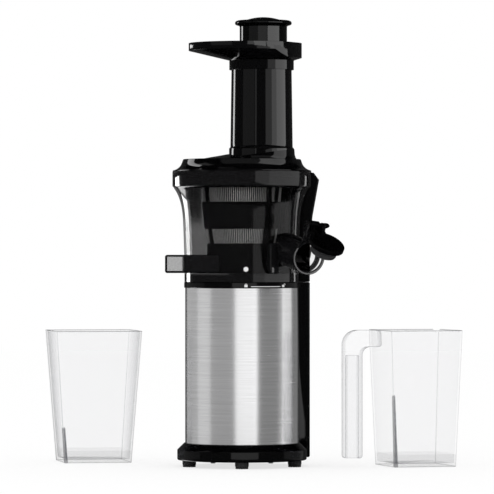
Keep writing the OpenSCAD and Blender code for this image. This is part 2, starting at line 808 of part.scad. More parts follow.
module juicing_bowl() {
    color(SMOKE) difference() {
        union() {
            rotate_extrude() polygon(concat(bowl_out, reversed(shifted(bowl_out, bowl_t))));
            translate([0, 0, z_floor]) tube(bowl_r - bowl_t + EPS, shaft_r + 2.2, floor_t);
            translate([0, 0, z_floor]) tube(shaft_r + 4.4, shaft_r + 2.2, floor_t + 4);
            for (i = [0 : lug_count - 1]) rotate([0, 0, -90 + 360 * i / lug_count]) translate([0, 0, z_bowl])
                ring_sector(bowl_r - bowl_t + EPS, lug_in + gap, z_lug - gap - z_bowl,
                    -lug_angle / 2, lug_angle / 2);
        }
        intersection() {
            spout_bore();
            translate([0, -100, 0]) cube([100, 100, z_rim]);
        }
        duct_bore();
    }
}

module pulp_duct() {
    color(SMOKE) difference() {
        translate([-duct_reach, -duct_front, z_duct]) cube([duct_reach - duct_right, duct_w, duct_h]);
        duct_bore();
        bowl_solid();
    }
}

module juice_spout() {
    color(SMOKE) difference() {
        union() {
            spout_frame() {
                translate([0, 0, -spout_len - 24]) cylinder(r = spout_r, h = spout_len + 24);
                translate([0, 0, -lip_len]) cylinder(r = lip_r, h = lip_len);
                // Bracket that carries the cap's hinge
                for (side = [-1, 1]) translate([0, side * (ear_y + ear_t / 2) - ear_t / 2, -lip_len]) {
                    translate([-hinge_up - barrel_r, 0, 0])
                        cube([hinge_up + barrel_r - cap_r - 1.5, ear_t, lip_len + hinge_out + barrel_r]);
                    translate([-cap_r - 2, 0, 0]) cube([6, ear_t, lip_len - 1]);
                }
                translate([-hinge_up + 3, -ear_y - ear_t, -lip_len])
                    cube([hinge_up - spout_r, 2 * ear_y + 2 * ear_t, lip_len - 1]);
            }
            // Saddle where the pipe leaves the bowl
            rotate([0, 0, -59]) translate([bowl_r - 8, -4.6, z_bowl + 8]) cube([14, 9.2, 29]);
        }
        spout_bore();
        spout_frame() translate([-hinge_up, -20, hinge_out]) rotate([-90, 0, 0])
            cylinder(r = hinge_pin_r, h = 40);
        bowl_solid();
    }
}

module bowl_rear_cover() {
    z0 = z_bowl;
    outer = [[column_r - 0.6, z0], [column_r, z0 + 0.8], [column_r, z0 + 30], [column_r + 2.5, z0 + 62],
        [band_r + 7, z_rim - 9.4], [band_r + 7.3, z_rim - 8.2], [band_r + 2.2, z_rim - 1.4],
        [band_r, z_rim - 1.4]];
    inner = [for (p = reversed(bowl_out)) if (p[1] < z_rim - 1.4) p];
    cavity = [[45, z0 + 2.2], [column_r - 2.3, z0 + 2.2], [column_r - 2.3, z0 + 30],
        [column_r + 0.2, z0 + 62], [band_r + 4.4, z_band], [band_r + 4.4, z_rim - 6],
        [band_r - 1, z_rim - 6], [band_r - 1, z_band - 1], [45, z_band - 6]];
    color(BLACK) difference() {
        column_frame() rotate([0, 0, -column_angle / 2 + 3]) rotate_extrude(angle = column_angle - 6)
            polygon(concat(outer, inner));
        column_frame() rotate([0, 0, -column_angle / 2 + 6]) rotate_extrude(angle = column_angle - 12)
            polygon(cavity);
        bowl_solid();
        column_frame() translate([rod_low, 0, z0 - 1]) cylinder(r = rod_r + gap, h = 6);
        column_frame() translate([rod_high, 0, z_rim - 12]) cylinder(r = rod_r + gap, h = 20);
    }
}

module bowl_seal() {
    color(RUBBER) translate([0, 0, z_floor]) tube(shaft_r + 2.2, shaft_r + 0.1, floor_t + 2);
}

// Strainer, auger and brush, from the bowl's wall inwards
strainer_r2 = bowl_r - bowl_t - strainer_gap;
strainer_r1 = strainer_r2 - strainer_taper;
auger_r = strainer_r1 - strainer_t - auger_gap;
brush_in = strainer_r2 + 2;
brush_ring = 4;
brush_out = brush_in + brush_ring;
brush_ring_h = 3;
wiper_t = 1.8;
wiper_gap = 3.1;
wiper_out = bowl_r - bowl_t - wiper_gap;
z_brush = z_strainer + gap;
brush_below = 7;
brush_h = z_mesh2_top - z_brush - brush_below;
brush_at = [126, 306];

// Radius of the strainer's outside at a height
function strainer_line(z) = z < z_mesh1 ? strainer_r1
    : strainer_r1 + (strainer_r2 - strainer_r1) * pow((z - z_mesh1) / (z_mesh2_top - z_mesh1), 0.7);
strainer_levels = [z_mesh1, z_mesh1_top, (z_mesh1_top + z_mesh2) / 2, z_mesh2, z_mesh2_top];
strainer_out = [for (z = strainer_levels) [strainer_line(z), z]];

module strainer_frame() {
    window_angle = 112;
    color(BLACK) difference() {
        rotate_extrude() polygon(concat(
            [[shaft_r + 4.4, z_strainer], [strainer_r1, z_strainer]], strainer_out,
            [[strainer_r2 + 0.8, z_mesh2_top], [strainer_r2 + 0.8, z_mesh2_top + 3],
                [strainer_r2 - strainer_t, z_mesh2_top + 3]],
            reversed(shifted(strainer_out, strainer_t)),
            [[strainer_r1 - strainer_t, z_strainer + 2.4], [shaft_r + 4.4, z_strainer + 2.4]]));
        for (i = [0 : 2], band = [[z_mesh1, mesh_low_h], [z_mesh2, mesh_high_h]])
            rotate([0, 0, 120 * i + 30]) translate([0, 0, band[0] + 0.5])
                ring_sector(60, 20, band[1] - 1, -window_angle / 2, window_angle / 2);
    }
}

module strainer_mesh() {
    color(STEEL) rotate_extrude() polygon(concat(shifted(strainer_out, strainer_t),
        reversed(shifted(strainer_out, strainer_t + 0.5))));
}

module alignment_dot() {
    color(WHITE) intersection() {
        translate([0, 0, z_bowl]) tube(bowl_r + 0.12, bowl_r, 19);
        rotate([0, 0, -86]) translate([40, 0, z_bowl + 12.2]) rotate([0, 90, 0]) cylinder(r = 2.3, h = 30);
    }
}

module rim_catch() {
    color(SMOKE) translate([0, 0, z_band + 0.5]) ring_sector(band_r + 0.8, band_r, 11, -19.5, -13.2);
}

module cap_hinge_pin() {
    color(STEEL) spout_frame() translate([-hinge_up, -ear_y - ear_t - 0.6, hinge_out]) rotate([-90, 0, 0])
        cylinder(r = hinge_pin_r, h = 2 * (ear_y + ear_t) + 1.2);
}

// ---- brush ----

module brush_frame() {
    color(BLACK) {
        for (z = [z_brush, z_brush + brush_h]) translate([0, 0, z]) tube(brush_out, brush_in, brush_ring_h);
        for (a = brush_at) rotate([0, 0, a])
            translate([brush_in, -brush_ring_h / 2, z_brush + brush_ring_h / 2])
                cube([brush_ring, brush_ring_h, brush_h]);
    }
}

module silicone_wipers() {
    color(RUBBER) for (a = brush_at) rotate([0, 0, a]) {
        translate([0, wiper_t / 2, 0]) rotate([90, 0, 0]) linear_extrude(height = wiper_t) polygon(concat(
            [for (p = strainer_out) if (p[1] < z_brush + brush_h) [p[0] + 2 * gap, p[1]]],
            [[brush_in, z_mesh2], [brush_in, z_mesh1]]));
        translate([brush_out, -wiper_t / 2, z_mesh1 + brush_ring])
            cube([wiper_out - brush_out, wiper_t, z_mesh2 - z_mesh1_top + 2 * brush_ring]);
    }
}

// ---- lid ----

module lid() {
    color(BLACK) difference() {
        union() {
            rotate_extrude() polygon([[0, z_lid_top - 2.6], [lid_top_r - 3, z_lid_top - 2.6],
                [lid_top_r - 0.4, z_lid + 5], [band_r - 4.8, z_lid + 0.4], [band_r - 4.8, z_lid - 8],
                [band_r - bowl_t - 0.4, z_lid - 8], [band_r - bowl_t - 0.4, z_lid], [band_r - 0.2, z_lid],
                [band_r - 0.2, z_lid + 0.6], [band_r - 3, z_lid + 1.3], [lid_top_r + 3.9, z_lid + 3.2],
                [lid_top_r + 1.9, z_lid + 5.6], [lid_top_r + 0.8, z_lid + 8], [lid_top_r, z_lid_top - 0.9],
                [lid_top_r - 1, z_lid_top],
                [0, z_lid_top]]);
            translate([chute_x, 0, z_lid_top - 1])
                cylinder(r1 = chute_r + 7, r2 = chute_r + 2, h = mound_h + 1);
            // Tongue that presses the interlock rod
            column_frame() translate([band_r - 6, -6, z_lid]) cube([11.4, 12, 2.4]);
        }
        translate([chute_x, 0, z_lid - 20]) cylinder(r = chute_bore, h = 60);
        // Seat of the seal
        translate([0, 0, z_lid - 5.4]) tube(band_r, band_r - bowl_t - 1.2, 2.2);
    }
}

module feed_chute() {
    step_h = 8;
    step_out = 1.2;
    color(BLACK) translate([chute_x, 0, z_chute]) difference() {
        union() {
            cylinder(r1 = chute_r, r2 = chute_r - chute_taper, h = chute_h);
            cylinder(r = chute_r + step_out, h = step_h);
        }
        translate([0, 0, -1]) cylinder(r = chute_bore, h = chute_h + 2);
    }
}

module lid_seal() {
    color(RUBBER) translate([0, 0, z_lid - 5.4])
        tube(band_r - bowl_t - gap, band_r - bowl_t - 1.2, 2.2);
}

// ---- tray and pusher ----

// Plan of the tray: round, with flat facets towards its right end
module tray_plan(inset) {
    r = tray_r - inset;
    translate([tray_x, 0]) intersection() {
        circle(r = r, $fn = 72);
        polygon([[-2 * r, -2 * r], [0.76 * r, -2 * r], [0.76 * r, -0.65 * r], [r, -0.17 * r],
            [r, 0.17 * r], [0.76 * r, 0.65 * r], [0.76 * r, 2 * r], [-2 * r, 2 * r]]);
    }
}

module tray_form(inset, lift, hole_r) {
    hull() {
        translate([0, 0, z_tray_wall + lift]) linear_extrude(height = z_tray_top - z_tray_wall)
            tray_plan(inset);
        translate([chute_x, 0, z_tray - 1 + lift]) cylinder(r = hole_r, h = 1, $fn = 72);
        translate([0, 0, z_tray + 1.4 + lift]) linear_extrude(height = 1) intersection() {
            tray_plan(inset);
            translate([tray_x + 0.74 * tray_r, -100]) square([100, 200]);
        }
    }
}

module hopper_tray() {
    color(BLACK) difference() {
        union() {
            tray_form(0, 0, collar_r);
            translate([chute_x, 0, z_tray - collar_h]) cylinder(r = collar_r, h = collar_h);
        }
        tray_form(tray_t, tray_t, chute_bore + 1);
        translate([chute_x, 0, z_tray - collar_h - 1]) cylinder(r = collar_bore, h = collar_h + 1);
        translate([chute_x, 0, z_tray - collar_h]) cylinder(r = chute_bore, h = 60);
    }
}

module pusher() {
    dome_r = pusher_r * 0.77;
    sphere_r = (pow(dome_r, 2) + pow(dome_h, 2)) / (2 * dome_h);
    color(BLACK) translate([chute_x + chute_bore - pusher_r - 0.7, 0, 0]) {
        difference() {
            translate([0, 0, z_pusher]) cylinder(r = pusher_r, h = z_flange - z_pusher + 1);
            translate([0, 0, z_pusher - 1]) cylinder(r = pusher_r - 2.4, h = z_flange - z_pusher - 3);
        }
        translate([0, 0, z_flange]) rotate_extrude() polygon([[0, 0], [pusher_r, 0],
            [pusher_r + 1.6, 0.5], [flange_r - 1, 1.4], [flange_r, 2.4], [flange_r, 3.4],
            [flange_r - 0.8, 4.6], [flange_r - 3, flange_h], [0, flange_h]]);
        intersection() {
            translate([0, 0, z_flange + flange_h + dome_h - sphere_r]) sphere(r = sphere_r);
            translate([0, 0, z_flange + flange_h - 0.2]) cylinder(r = dome_r + 1, h = dome_h + 1);
        }
    }
}

// ---- spout cap ----

module spout_cap() {
    color(BLACK) cap_frame() difference() {
        union() {
            translate([0, 0, gap]) cylinder(r = cap_r, h = cap_t);
            translate([0, 0, gap - 1]) tube(cap_r, lip_r + gap, 1.2);
            translate([-hinge_up, -ear_y + 1.6, gap]) cube([hinge_up - cap_r + 3, 2 * ear_y - 3.2, cap_t]);
            translate([-hinge_up, -ear_y + gap, hinge_out]) rotate([-90, 0, 0])
                cylinder(r = barrel_r, h = 2 * (ear_y - gap));
            // Finger tab beyond the hinge, clear of the ears
            translate([-hinge_up - tab_out - tab_t, -ear_y + 0.6, hinge_out - 2.6])
                cube([tab_out + tab_t, 2 * ear_y - 1.2, 3]);
            translate([-hinge_up - tab_out - tab_t, 0, hinge_out]) rotate([90, 0, 90])
                linear_extrude(height = tab_t) polygon([[-6.4, -11], [-6.4, -7.6], [-4.5, -6.6], [-0.5, -4.8],
                    [5, -2.8], [11, -0.8], [14.5, -0.4], [17, -1], [18.2, -2.6], [17.6, -4.2], [14.5, -6.2],
                    [12.2, -8.4], [11.2, -11]]);
        }
        translate([-hinge_up, -20, hinge_out]) rotate([-90, 0, 0]) cylinder(r = hinge_pin_r + run, h = 40);
    }
}

module cap_plug() {
    color(RUBBER) cap_frame() translate([0, 0, gap - plug_len]) tube(plug_r, plug_r - 3, plug_len);
}

// ---- interlock rod ----

module interlock_rod() {
    z_tip = z_deck_top - 0.1 + rod_travel;
    color(STEEL) column_frame() {
        translate([rod_low, 0, z_tip]) cylinder(r = rod_r, h = z_crank - z_tip);
        translate([rod_low, 0, z_crank]) sphere(r = rod_r + 0.15);
        translate([rod_low, 0, z_crank]) rotate([0, atan((rod_high - rod_low) / crank_h), 0])
            cylinder(r = rod_r, h = norm([rod_high - rod_low, crank_h]));
        translate([rod_high, 0, z_crank + crank_h]) sphere(r = rod_r + 0.15);
        translate([rod_high, 0, z_crank + crank_h]) cylinder(r = rod_r, h = z_rim - z_crank - crank_h);
        translate([rod_low, 0, z_bowl + 22]) cylinder(r = rod_r + 0.55, h = 1.6);
    }
}

module rod_spring() {
    turns = 6;
    wire_r = 0.3;
    spring_h = 19.8;
    color(STEEL) column_frame() translate([rod_low, 0, z_bowl + 2.2]) {
        for (i = [0 : turns]) translate([0, 0, 0.1 + wire_r + (spring_h - 0.2 - 2 * wire_r) * i / turns])
            rotate_extrude() translate([rod_r + run + wire_r, 0]) circle(r = wire_r, $fn = 16);
        tube(rod_r + 0.5, rod_r + 0.2, spring_h);
    }
}

// ---- cups ----

module rounded_square(side) {
    square([side - 2 * corner_r, side], center = true);
    square([side, side - 2 * corner_r], center = true);
    for (x = [-1, 1], y = [-1, 1]) translate([x, y] * (side / 2 - corner_r)) circle(r = corner_r, $fn = FINE);
}

module tapered_cup(h, top, foot) {
    taper = (top - foot) / h;
    foot_in = foot - 2 * cup_t + taper * cup_floor;
    depth = h - cup_floor + 1;
    difference() {
        linear_extrude(height = h, scale = top / foot) rounded_square(foot);
        translate([0, 0, cup_floor]) linear_extrude(height = depth, scale = 1 + taper * depth / foot_in)
            rounded_square(foot_in);
    }
}

module pulp_cup() {
    color(CLEAR) translate(pulp_at) rotate([0, 0, pulp_turn]) tapered_cup(pulp_h, pulp_top, pulp_foot);
}

module juice_jug() {
    color(CLEAR) translate(jug_at) rotate([0, 0, jug_turn]) tapered_cup(jug_h, jug_top, jug_foot);
}

module jug_handle() {
    rim_side = jug_top / 2;
    foot_side = jug_foot / 2;
    out = foot_side + handle_gap + handle_w;
    color(CLEAR) translate(jug_at) rotate([0, 0, jug_turn]) difference() {
        translate([0, handle_w / 2, 0]) rotate([90, 0, 0]) linear_extrude(height = handle_w) difference() {
            union() {
                translate([-out, handle_foot]) square([out - foot_side, jug_h - handle_foot - 14]);
                translate([-out + 14, jug_h - 28]) square([out - foot_side - 14, 28]);
                translate([-out + 14, jug_h - 14]) circle(r = 14);
            }
            translate([-out + handle_w, handle_foot - 1]) square([out, jug_h - handle_foot - handle_top - 7]);
            translate([-out + handle_w + 8, handle_foot - 1])
                square([out, jug_h - handle_foot - handle_top + 1]);
            translate([-out + handle_w + 8, jug_h - handle_top - 8]) circle(r = 8);
        }
        linear_extrude(height = jug_h, scale = jug_top / jug_foot) rounded_square(jug_foot);
    }
}

base_ring();
rubber_feet();
bottom_plate();
bottom_screws();
steel_sleeve();
inner_housing();
top_deck();
lock_marks();
rear_column();
switch_bezel();
switch_body();
cord_gland();
interlock_switch();
motor_can();
motor_stator();
motor_windings();
motor_bracket();
motor_bearings();
gearbox_case();
gearbox_lid();
gearbox_screws();
idler_axle();
output_bearing();
deck_seal();
control_board();
rocker();
rotor_core();
motor_shaft();
cooling_fan();
idler_gears();
output_gear();
drive_shaft();
auger();
juicing_bowl();
pulp_duct();
juice_spout();
bowl_rear_cover();
bowl_seal();
strainer_frame();
strainer_mesh();
alignment_dot();
rim_catch();
cap_hinge_pin();
brush_frame();
silicone_wipers();
lid();
feed_chute();
lid_seal();
hopper_tray();
pusher();
spout_cap();
cap_plug();
interlock_rod();
rod_spring();
pulp_cup();
juice_jug();
jug_handle();
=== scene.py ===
"""Cold press juicer with its pulp cup and juice jug: visible pieces, finishes and studio around its frame."""
import json
from math import atan, cos, pi, radians, sin, sqrt

import bpy
from bpy.props import FloatProperty, FloatVectorProperty, IntProperty, PointerProperty
from mathutils import Matrix, Vector

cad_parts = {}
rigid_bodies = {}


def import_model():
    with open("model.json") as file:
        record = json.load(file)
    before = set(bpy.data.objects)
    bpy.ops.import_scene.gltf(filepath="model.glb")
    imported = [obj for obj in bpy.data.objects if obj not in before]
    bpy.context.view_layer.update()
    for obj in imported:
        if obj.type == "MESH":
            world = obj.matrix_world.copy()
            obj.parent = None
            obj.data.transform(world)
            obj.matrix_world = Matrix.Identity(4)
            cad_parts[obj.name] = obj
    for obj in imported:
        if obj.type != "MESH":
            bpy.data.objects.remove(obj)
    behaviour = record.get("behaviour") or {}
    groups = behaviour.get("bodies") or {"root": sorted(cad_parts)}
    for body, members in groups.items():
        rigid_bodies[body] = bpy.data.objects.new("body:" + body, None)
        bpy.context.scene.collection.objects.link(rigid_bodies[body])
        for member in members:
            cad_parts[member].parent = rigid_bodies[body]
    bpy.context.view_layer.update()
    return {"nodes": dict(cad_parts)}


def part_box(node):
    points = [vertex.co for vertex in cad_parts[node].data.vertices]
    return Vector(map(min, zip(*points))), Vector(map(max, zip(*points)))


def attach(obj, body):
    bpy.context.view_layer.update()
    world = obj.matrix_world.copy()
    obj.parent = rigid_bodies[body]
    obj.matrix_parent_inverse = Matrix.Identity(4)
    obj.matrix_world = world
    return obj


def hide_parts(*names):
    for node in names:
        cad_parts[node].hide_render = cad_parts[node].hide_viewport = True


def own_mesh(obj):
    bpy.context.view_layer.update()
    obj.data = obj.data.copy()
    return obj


bl_info = {
    "name": "Cold press juicer",
    "version": (1, 0, 0),
    "blender": (4, 5, 0),
    "location": "View3D > Sidebar > Juicer",
    "description": "Builds the visible pieces and finishes of an upright slow juicer around its frame",
    "category": "Add Mesh",
}

for leftover in list(bpy.data.objects):
    bpy.data.objects.remove(leftover)
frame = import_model()
MM = 0.001
UP = Vector((0, 0, 1))


def span(node):
    """Lowest and highest corner of a CAD node, in millimetres."""
    low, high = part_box(node)
    return low / MM, high / MM


# Levels and radii of the frame, in millimetres
Z_RING = span("base_ring")[0].z
Z_STEEL = span("base_ring")[1].z
RING_R = span("base_ring")[1].x
SLEEVE_LOW, SLEEVE_HIGH = span("steel_sleeve")
STEEL_R = -SLEEVE_LOW.x
DECK_LOW, DECK_HIGH = span("top_deck")
DECK_R = DECK_HIGH.x
BOWL_LOW, BOWL_HIGH = span("juicing_bowl")
BAND_R = BOWL_HIGH.x
Z_BOWL, Z_RIM = BOWL_LOW.z, BOWL_HIGH.z
BOWL_R = 54.9
FOOT_RING_R = 52.7
FOOT_RIBS = 14
FOOT_RIB_R = 5.2
FOOT_TURNS = (72, 180, -72)
BOWL_WALL = 2.4
# Height and left reach of the painted shade on the bowl's upper left wall
PAINTED_SHADE_Z = (226, 246)
PAINTED_SHADE_X = (-41, -37)
BAND_H = 14.7
Z_BAND = Z_RIM - BAND_H
Z_FLOOR = Z_BOWL + 5.6
LID_LOW, LID_HIGH = span("lid")
Z_LID = Z_RIM + 0.2
Z_LID_TOP = Z_LID + 11.4
CHUTE_LOW, CHUTE_HIGH = span("feed_chute")
CHUTE_X = (CHUTE_LOW.x + CHUTE_HIGH.x) / 2
FOOT_STEP_R = (CHUTE_HIGH.x - CHUTE_LOW.x) / 2
CHUTE_R = 29.8
CHUTE_BORE = 25.0
Z_CHUTE, Z_CHUTE_TOP = CHUTE_LOW.z, CHUTE_HIGH.z
PUSHER_LOW, PUSHER_HIGH = span("pusher")
PUSHER_X = (PUSHER_LOW.x + PUSHER_HIGH.x) / 2
FLANGE_R = (PUSHER_HIGH.x - PUSHER_LOW.x) / 2
Z_MESH = [(212.1, 226.9), (251.7, 272.7)]
STRAINER_FOOT_R = 33.2
STRAINER_TOP_R = 40.0

# Frames of the pieces that stand turned
COLUMN = Matrix.Rotation(radians(45), 4, "Z")
SPOUT = (Matrix.Translation((63, -80, Z_BOWL + 23.2)) @ Matrix.Rotation(radians(-65), 4, "Z")
         @ Matrix.Rotation(radians(99), 4, "Y") @ Matrix.Rotation(radians(-7), 4, "Z"))
HINGE = Vector((-31, 0, 2))
CAP = (SPOUT @ Matrix.Translation(HINGE) @ Matrix.Rotation(radians(-66), 4, "Y")
       @ Matrix.Translation(-HINGE))
PULP = Matrix.Translation((-145, 90, 0)) @ Matrix.Rotation(radians(10), 4, "Z")
JUG = Matrix.Translation((166, 10, 0)) @ Matrix.Rotation(radians(16), 4, "Z")
PULP_SIZE = (128, 84.5, 66)
JUG_SIZE = (130, 72.2, 62)
HANDLE_GAP, HANDLE_W = 24, 17
DUCT_LOW, DUCT_HIGH = span("pulp_duct")
DUCT_WALL = 1.9


# ---- sizes and colours ----

def length(name, description, default, low, high):
    return FloatProperty(name=name, description=description, default=default * MM, min=low * MM,
                         max=high * MM, subtype="DISTANCE", unit="LENGTH", precision=5)


def tint(name, description, default):
    return FloatVectorProperty(name=name, description=description, default=default, size=3, min=0, max=1,
                               subtype="COLOR")


class JuicerSizes(bpy.types.PropertyGroup):
    """Sizes of the details that the visible pieces add to the frame"""
    sides: IntProperty(name="Round sides", description="Sides of the large turned pieces",
                       default=144, min=48, max=256)
    dome_radius: length("Dome radius", "Radius of the pusher's dome where it leaves the flange", 18, 10, 19)
    dome_height: length("Dome height", "Height of the pusher's dome", 3.2, 2, 5.4)
    wire_count: IntProperty(name="Strainer wires", description="Upright wires round the strainer",
                            default=116, min=60, max=300)
    wire: length("Wire thickness", "Thickness of a strainer wire", 0.8, 0.2, 1.2)
    cup_corner: length("Cup corner", "Rounding of the cups' upright corners", 2.4, 1, 8)
    cup_wall: length("Cup wall", "Wall of the cups", 2, 1.2, 3)
    plug_lips: IntProperty(name="Plug lips", description="Sealing lips round the spout's plug",
                           default=3, min=1, max=5)


class JuicerColours(bpy.types.PropertyGroup):
    """Colours of the juicer's plastics and metals"""
    black: tint("Gloss black", "Polished black plastic", (0.0014, 0.0014, 0.0016))
    inner: tint("Inner black", "Black plastic inside and below", (0.006, 0.006, 0.0065))
    smoke: tint("Smoke", "Body colour of the smoke see-through plastic", (0.006, 0.006, 0.0065))
    clear: tint("Clear", "Body colour of the clear plastic of the cups", (0.56, 0.57, 0.66))
    edge: tint("Clear edge", "Clear plastic where it is seen along its wall", (0.17, 0.175, 0.19))
    steel: tint("Steel", "Brushed steel of the sleeve", (0.63, 0.63, 0.635))
    print_white: tint("Print", "White print on the deck and the bowl", (0.86, 0.86, 0.86))
    rubber: tint("Rubber", "Rubber of the feet, seals and the spout's plug", (0.022, 0.022, 0.023))


def sizes():
    return bpy.context.scene.juicer_sizes


def colours():
    return bpy.context.scene.juicer_colours


# ---- modelling helpers, all in millimetres ----

def deselect():
    if bpy.context.mode != "OBJECT":
        bpy.ops.object.mode_set(mode="OBJECT")
    bpy.ops.object.select_all(action="DESELECT")


def pick(*objects):
    """Selects these objects and nothing else; the first one is the active one."""
    deselect()
    for each in objects:
        each.select_set(True)
    bpy.context.view_layer.objects.active = objects[0]
    return objects[0]


def open_mesh(obj):
    pick(obj)
    bpy.ops.object.mode_set(mode="EDIT")
    bpy.ops.mesh.select_mode(type="VERT")
    bpy.ops.mesh.select_all(action="SELECT")


def choose(obj, kind, test):
    """In edit mode, selects the faces or edges that pass a test, and nothing else."""
    bpy.ops.mesh.select_mode(type=kind)
    bpy.ops.mesh.select_all(action="DESELECT")
    bpy.ops.object.mode_set(mode="OBJECT")
    for part in (obj.data.polygons if kind == "FACE" else obj.data.edges):
        part.select = test(part)
    bpy.ops.object.mode_set(mode="EDIT")


def tidy_mesh(obj):
    """Joins doubled points and turns all faces outwards."""
    open_mesh(obj)
    bpy.ops.mesh.remove_doubles(threshold=1e-6)
    bpy.ops.mesh.normals_make_consistent(inside=False)
    bpy.ops.object.mode_set(mode="OBJECT")
    return obj


def turned(rings, centre=(0, 0), sides=None, closed=True):
    """A turned piece: a circle is extruded and resized from ring to ring, each (radius, height)."""
    deselect()
    x, y = centre
    rings = [(max(r, 0.0005), z) for r, z in rings]
    radius, level = rings[0]
    bpy.ops.mesh.primitive_circle_add(vertices=sides or sizes().sides, radius=radius * MM,
                                      location=(x * MM, y * MM, level * MM))
    obj = bpy.context.object
    bpy.ops.object.mode_set(mode="EDIT")
    bpy.ops.mesh.select_all(action="SELECT")
    for new_radius, new_level in rings[1:] + (rings[:1] if closed else []):
        bpy.ops.mesh.extrude_region_move(
            TRANSFORM_OT_translate={"value": (0, 0, (new_level - level) * MM)})
        if new_radius != radius:
            ratio = new_radius / radius
            bpy.ops.transform.resize(value=(ratio, ratio, 1),
                                     center_override=(x * MM, y * MM, new_level * MM))
        radius, level = new_radius, new_level
    return tidy_mesh(obj)


def block(low, high, soft=0.0, segments=3):
    """A block between two corners, with rounded edges."""
    deselect()
    low, high = Vector(low) * MM, Vector(high) * MM
    bpy.ops.mesh.primitive_cube_add(size=1, location=(low + high) / 2, scale=high - low)
    obj = bpy.context.object
    bpy.ops.object.transform_apply(location=True, rotation=True, scale=True)
    if soft:
        soften(obj, soft, segments)
    return obj


def drawn(points, rise):
    """A flat outline drawn point by point on the floor plane, filled and raised."""
    deselect()
    bpy.ops.mesh.primitive_plane_add(size=MM)
    obj = bpy.context.object
    open_mesh(obj)
    bpy.ops.mesh.merge(type="CENTER")
    start = Vector((*points[0], 0)) * MM
    bpy.ops.transform.translate(value=start)
    for before, after in zip(points, points[1:]):
        step = (Vector((*after, 0)) - Vector((*before, 0))) * MM
        bpy.ops.mesh.extrude_region_move(TRANSFORM_OT_translate={"value": step})
    bpy.ops.mesh.select_all(action="SELECT")
    bpy.ops.mesh.edge_face_add()
    bpy.ops.mesh.extrude_region_move(TRANSFORM_OT_translate={"value": (0, 0, rise * MM)})
    bpy.ops.object.mode_set(mode="OBJECT")
    return tidy_mesh(obj)


def apply(obj, name):
    pick(obj)
    bpy.ops.object.modifier_apply(modifier=name)
    return obj


def soften(obj, width, segments=3, angle=28, clamp=True):
    """Rounds every edge that is sharper than the angle."""
    bevel = obj.modifiers.new("Rounding", "BEVEL")
    bevel.width = width * MM
    bevel.segments = segments
    bevel.limit_method = "ANGLE"
    bevel.angle_limit = radians(angle)
    bevel.use_clamp_overlap = clamp
    return apply(obj, bevel.name)


def boolean(obj, tool, operation):
    """Cuts a tool out of the piece, adds it or keeps what both share; the tool is used up."""
    step = obj.modifiers.new("Shape", "BOOLEAN")
    step.operation = operation
    step.solver = "EXACT"
    step.object = tool
    apply(obj, step.name)
    bpy.data.objects.remove(tool)
    return obj


def cut(obj, *tools):
    for tool in tools:
        boolean(obj, tool, "DIFFERENCE")
    return obj


def fuse(obj, *others):
    for other in others:
        boolean(obj, other, "UNION")
    return obj


def move(obj, matrix):
    """Moves a piece by a matrix in millimetres and settles its mesh there."""
    placed = matrix.copy()
    placed.translation = matrix.translation * MM
    obj.matrix_world = placed @ obj.matrix_world
    pick(obj)
    bpy.ops.object.transform_apply(location=True, rotation=True, scale=True)
    return obj


def copied(obj, matrix=None):
    """A copy with its own mesh, moved by a matrix in millimetres."""
    twin = obj.copy()
    twin.data = obj.data.copy()
    bpy.context.collection.objects.link(twin)
    return move(twin, matrix or Matrix.Identity(4))


def joined(obj, *others):
    if others:
        pick(obj, *others)
        bpy.ops.object.join()
    return obj


def cad_copy(node, width=0.0, segments=2, angle=28, clamp=True):
    """A copy of a CAD node with its loose triangles joined to plain faces, and its edges rounded."""
    source = frame["nodes"][node]
    twin = source.copy()
    twin.data = source.data.copy()
    twin.parent = None
    bpy.context.collection.objects.link(twin)
    pick(twin)
    if twin.data.has_custom_normals:
        bpy.ops.mesh.customdata_custom_splitnormals_clear()
    open_mesh(twin)
    bpy.ops.mesh.remove_doubles(threshold=2e-6)
    bpy.ops.mesh.dissolve_limited(angle_limit=radians(0.6))
    bpy.ops.object.mode_set(mode="OBJECT")
    if width:
        soften(twin, width, segments, angle, clamp)
    return twin


def settle(obj, name, body, finish, *nodes, angle=32):
    """Finishes a piece: name, smooth shading, material, body, and the CAD nodes it stands for."""
    old = bpy.data.objects.get(name)
    if old and old != obj:
        bpy.data.objects.remove(old)
    pick(obj)
    bpy.ops.object.transform_apply(location=True, rotation=True, scale=True)
    bpy.ops.object.shade_smooth_by_angle(angle=radians(angle))
    obj.name = name
    obj.data.name = name
    obj.data.materials.clear()
    obj.data.materials.append(material(finish))
    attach(obj, body)
    if nodes:
        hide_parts(*nodes)
    return obj


# ---- node helpers ----

class Signal:
    """The value of one socket; Python's operators on it add Math nodes."""

    def __init__(self, graph, socket):
        self.graph = graph
        self.socket = socket

    def maths(self, operation, *values):
        return self.graph.node("ShaderNodeMath", {"operation": operation}, dict(enumerate(values)))

    def other(self, name):
        """Another output of the same node."""
        return Signal(self.graph, self.socket.node.outputs[name])

    def __add__(self, value):
        return self.maths("ADD", self, value)

    def __radd__(self, value):
        return self.maths("ADD", value, self)

    def __sub__(self, value):
        return self.maths("SUBTRACT", self, value)

    def __rsub__(self, value):
        return self.maths("SUBTRACT", value, self)

    def __mul__(self, value):
        return self.maths("MULTIPLY", self, value)

    def __rmul__(self, value):
        return self.maths("MULTIPLY", value, self)

    def __truediv__(self, value):
        return self.maths("DIVIDE", self, value)

    def __pow__(self, value):
        return self.maths("POWER", self, value)

    def given(self, value):
        self.socket.default_value = value
        return self

    def step(self, low, high):
        """Rises smoothly from 0 to 1 between two values."""
        return self.graph.node("ShaderNodeMapRange", {"interpolation_type": "SMOOTHSTEP"},
                               {"Value": self, "From Min": low, "From Max": high})


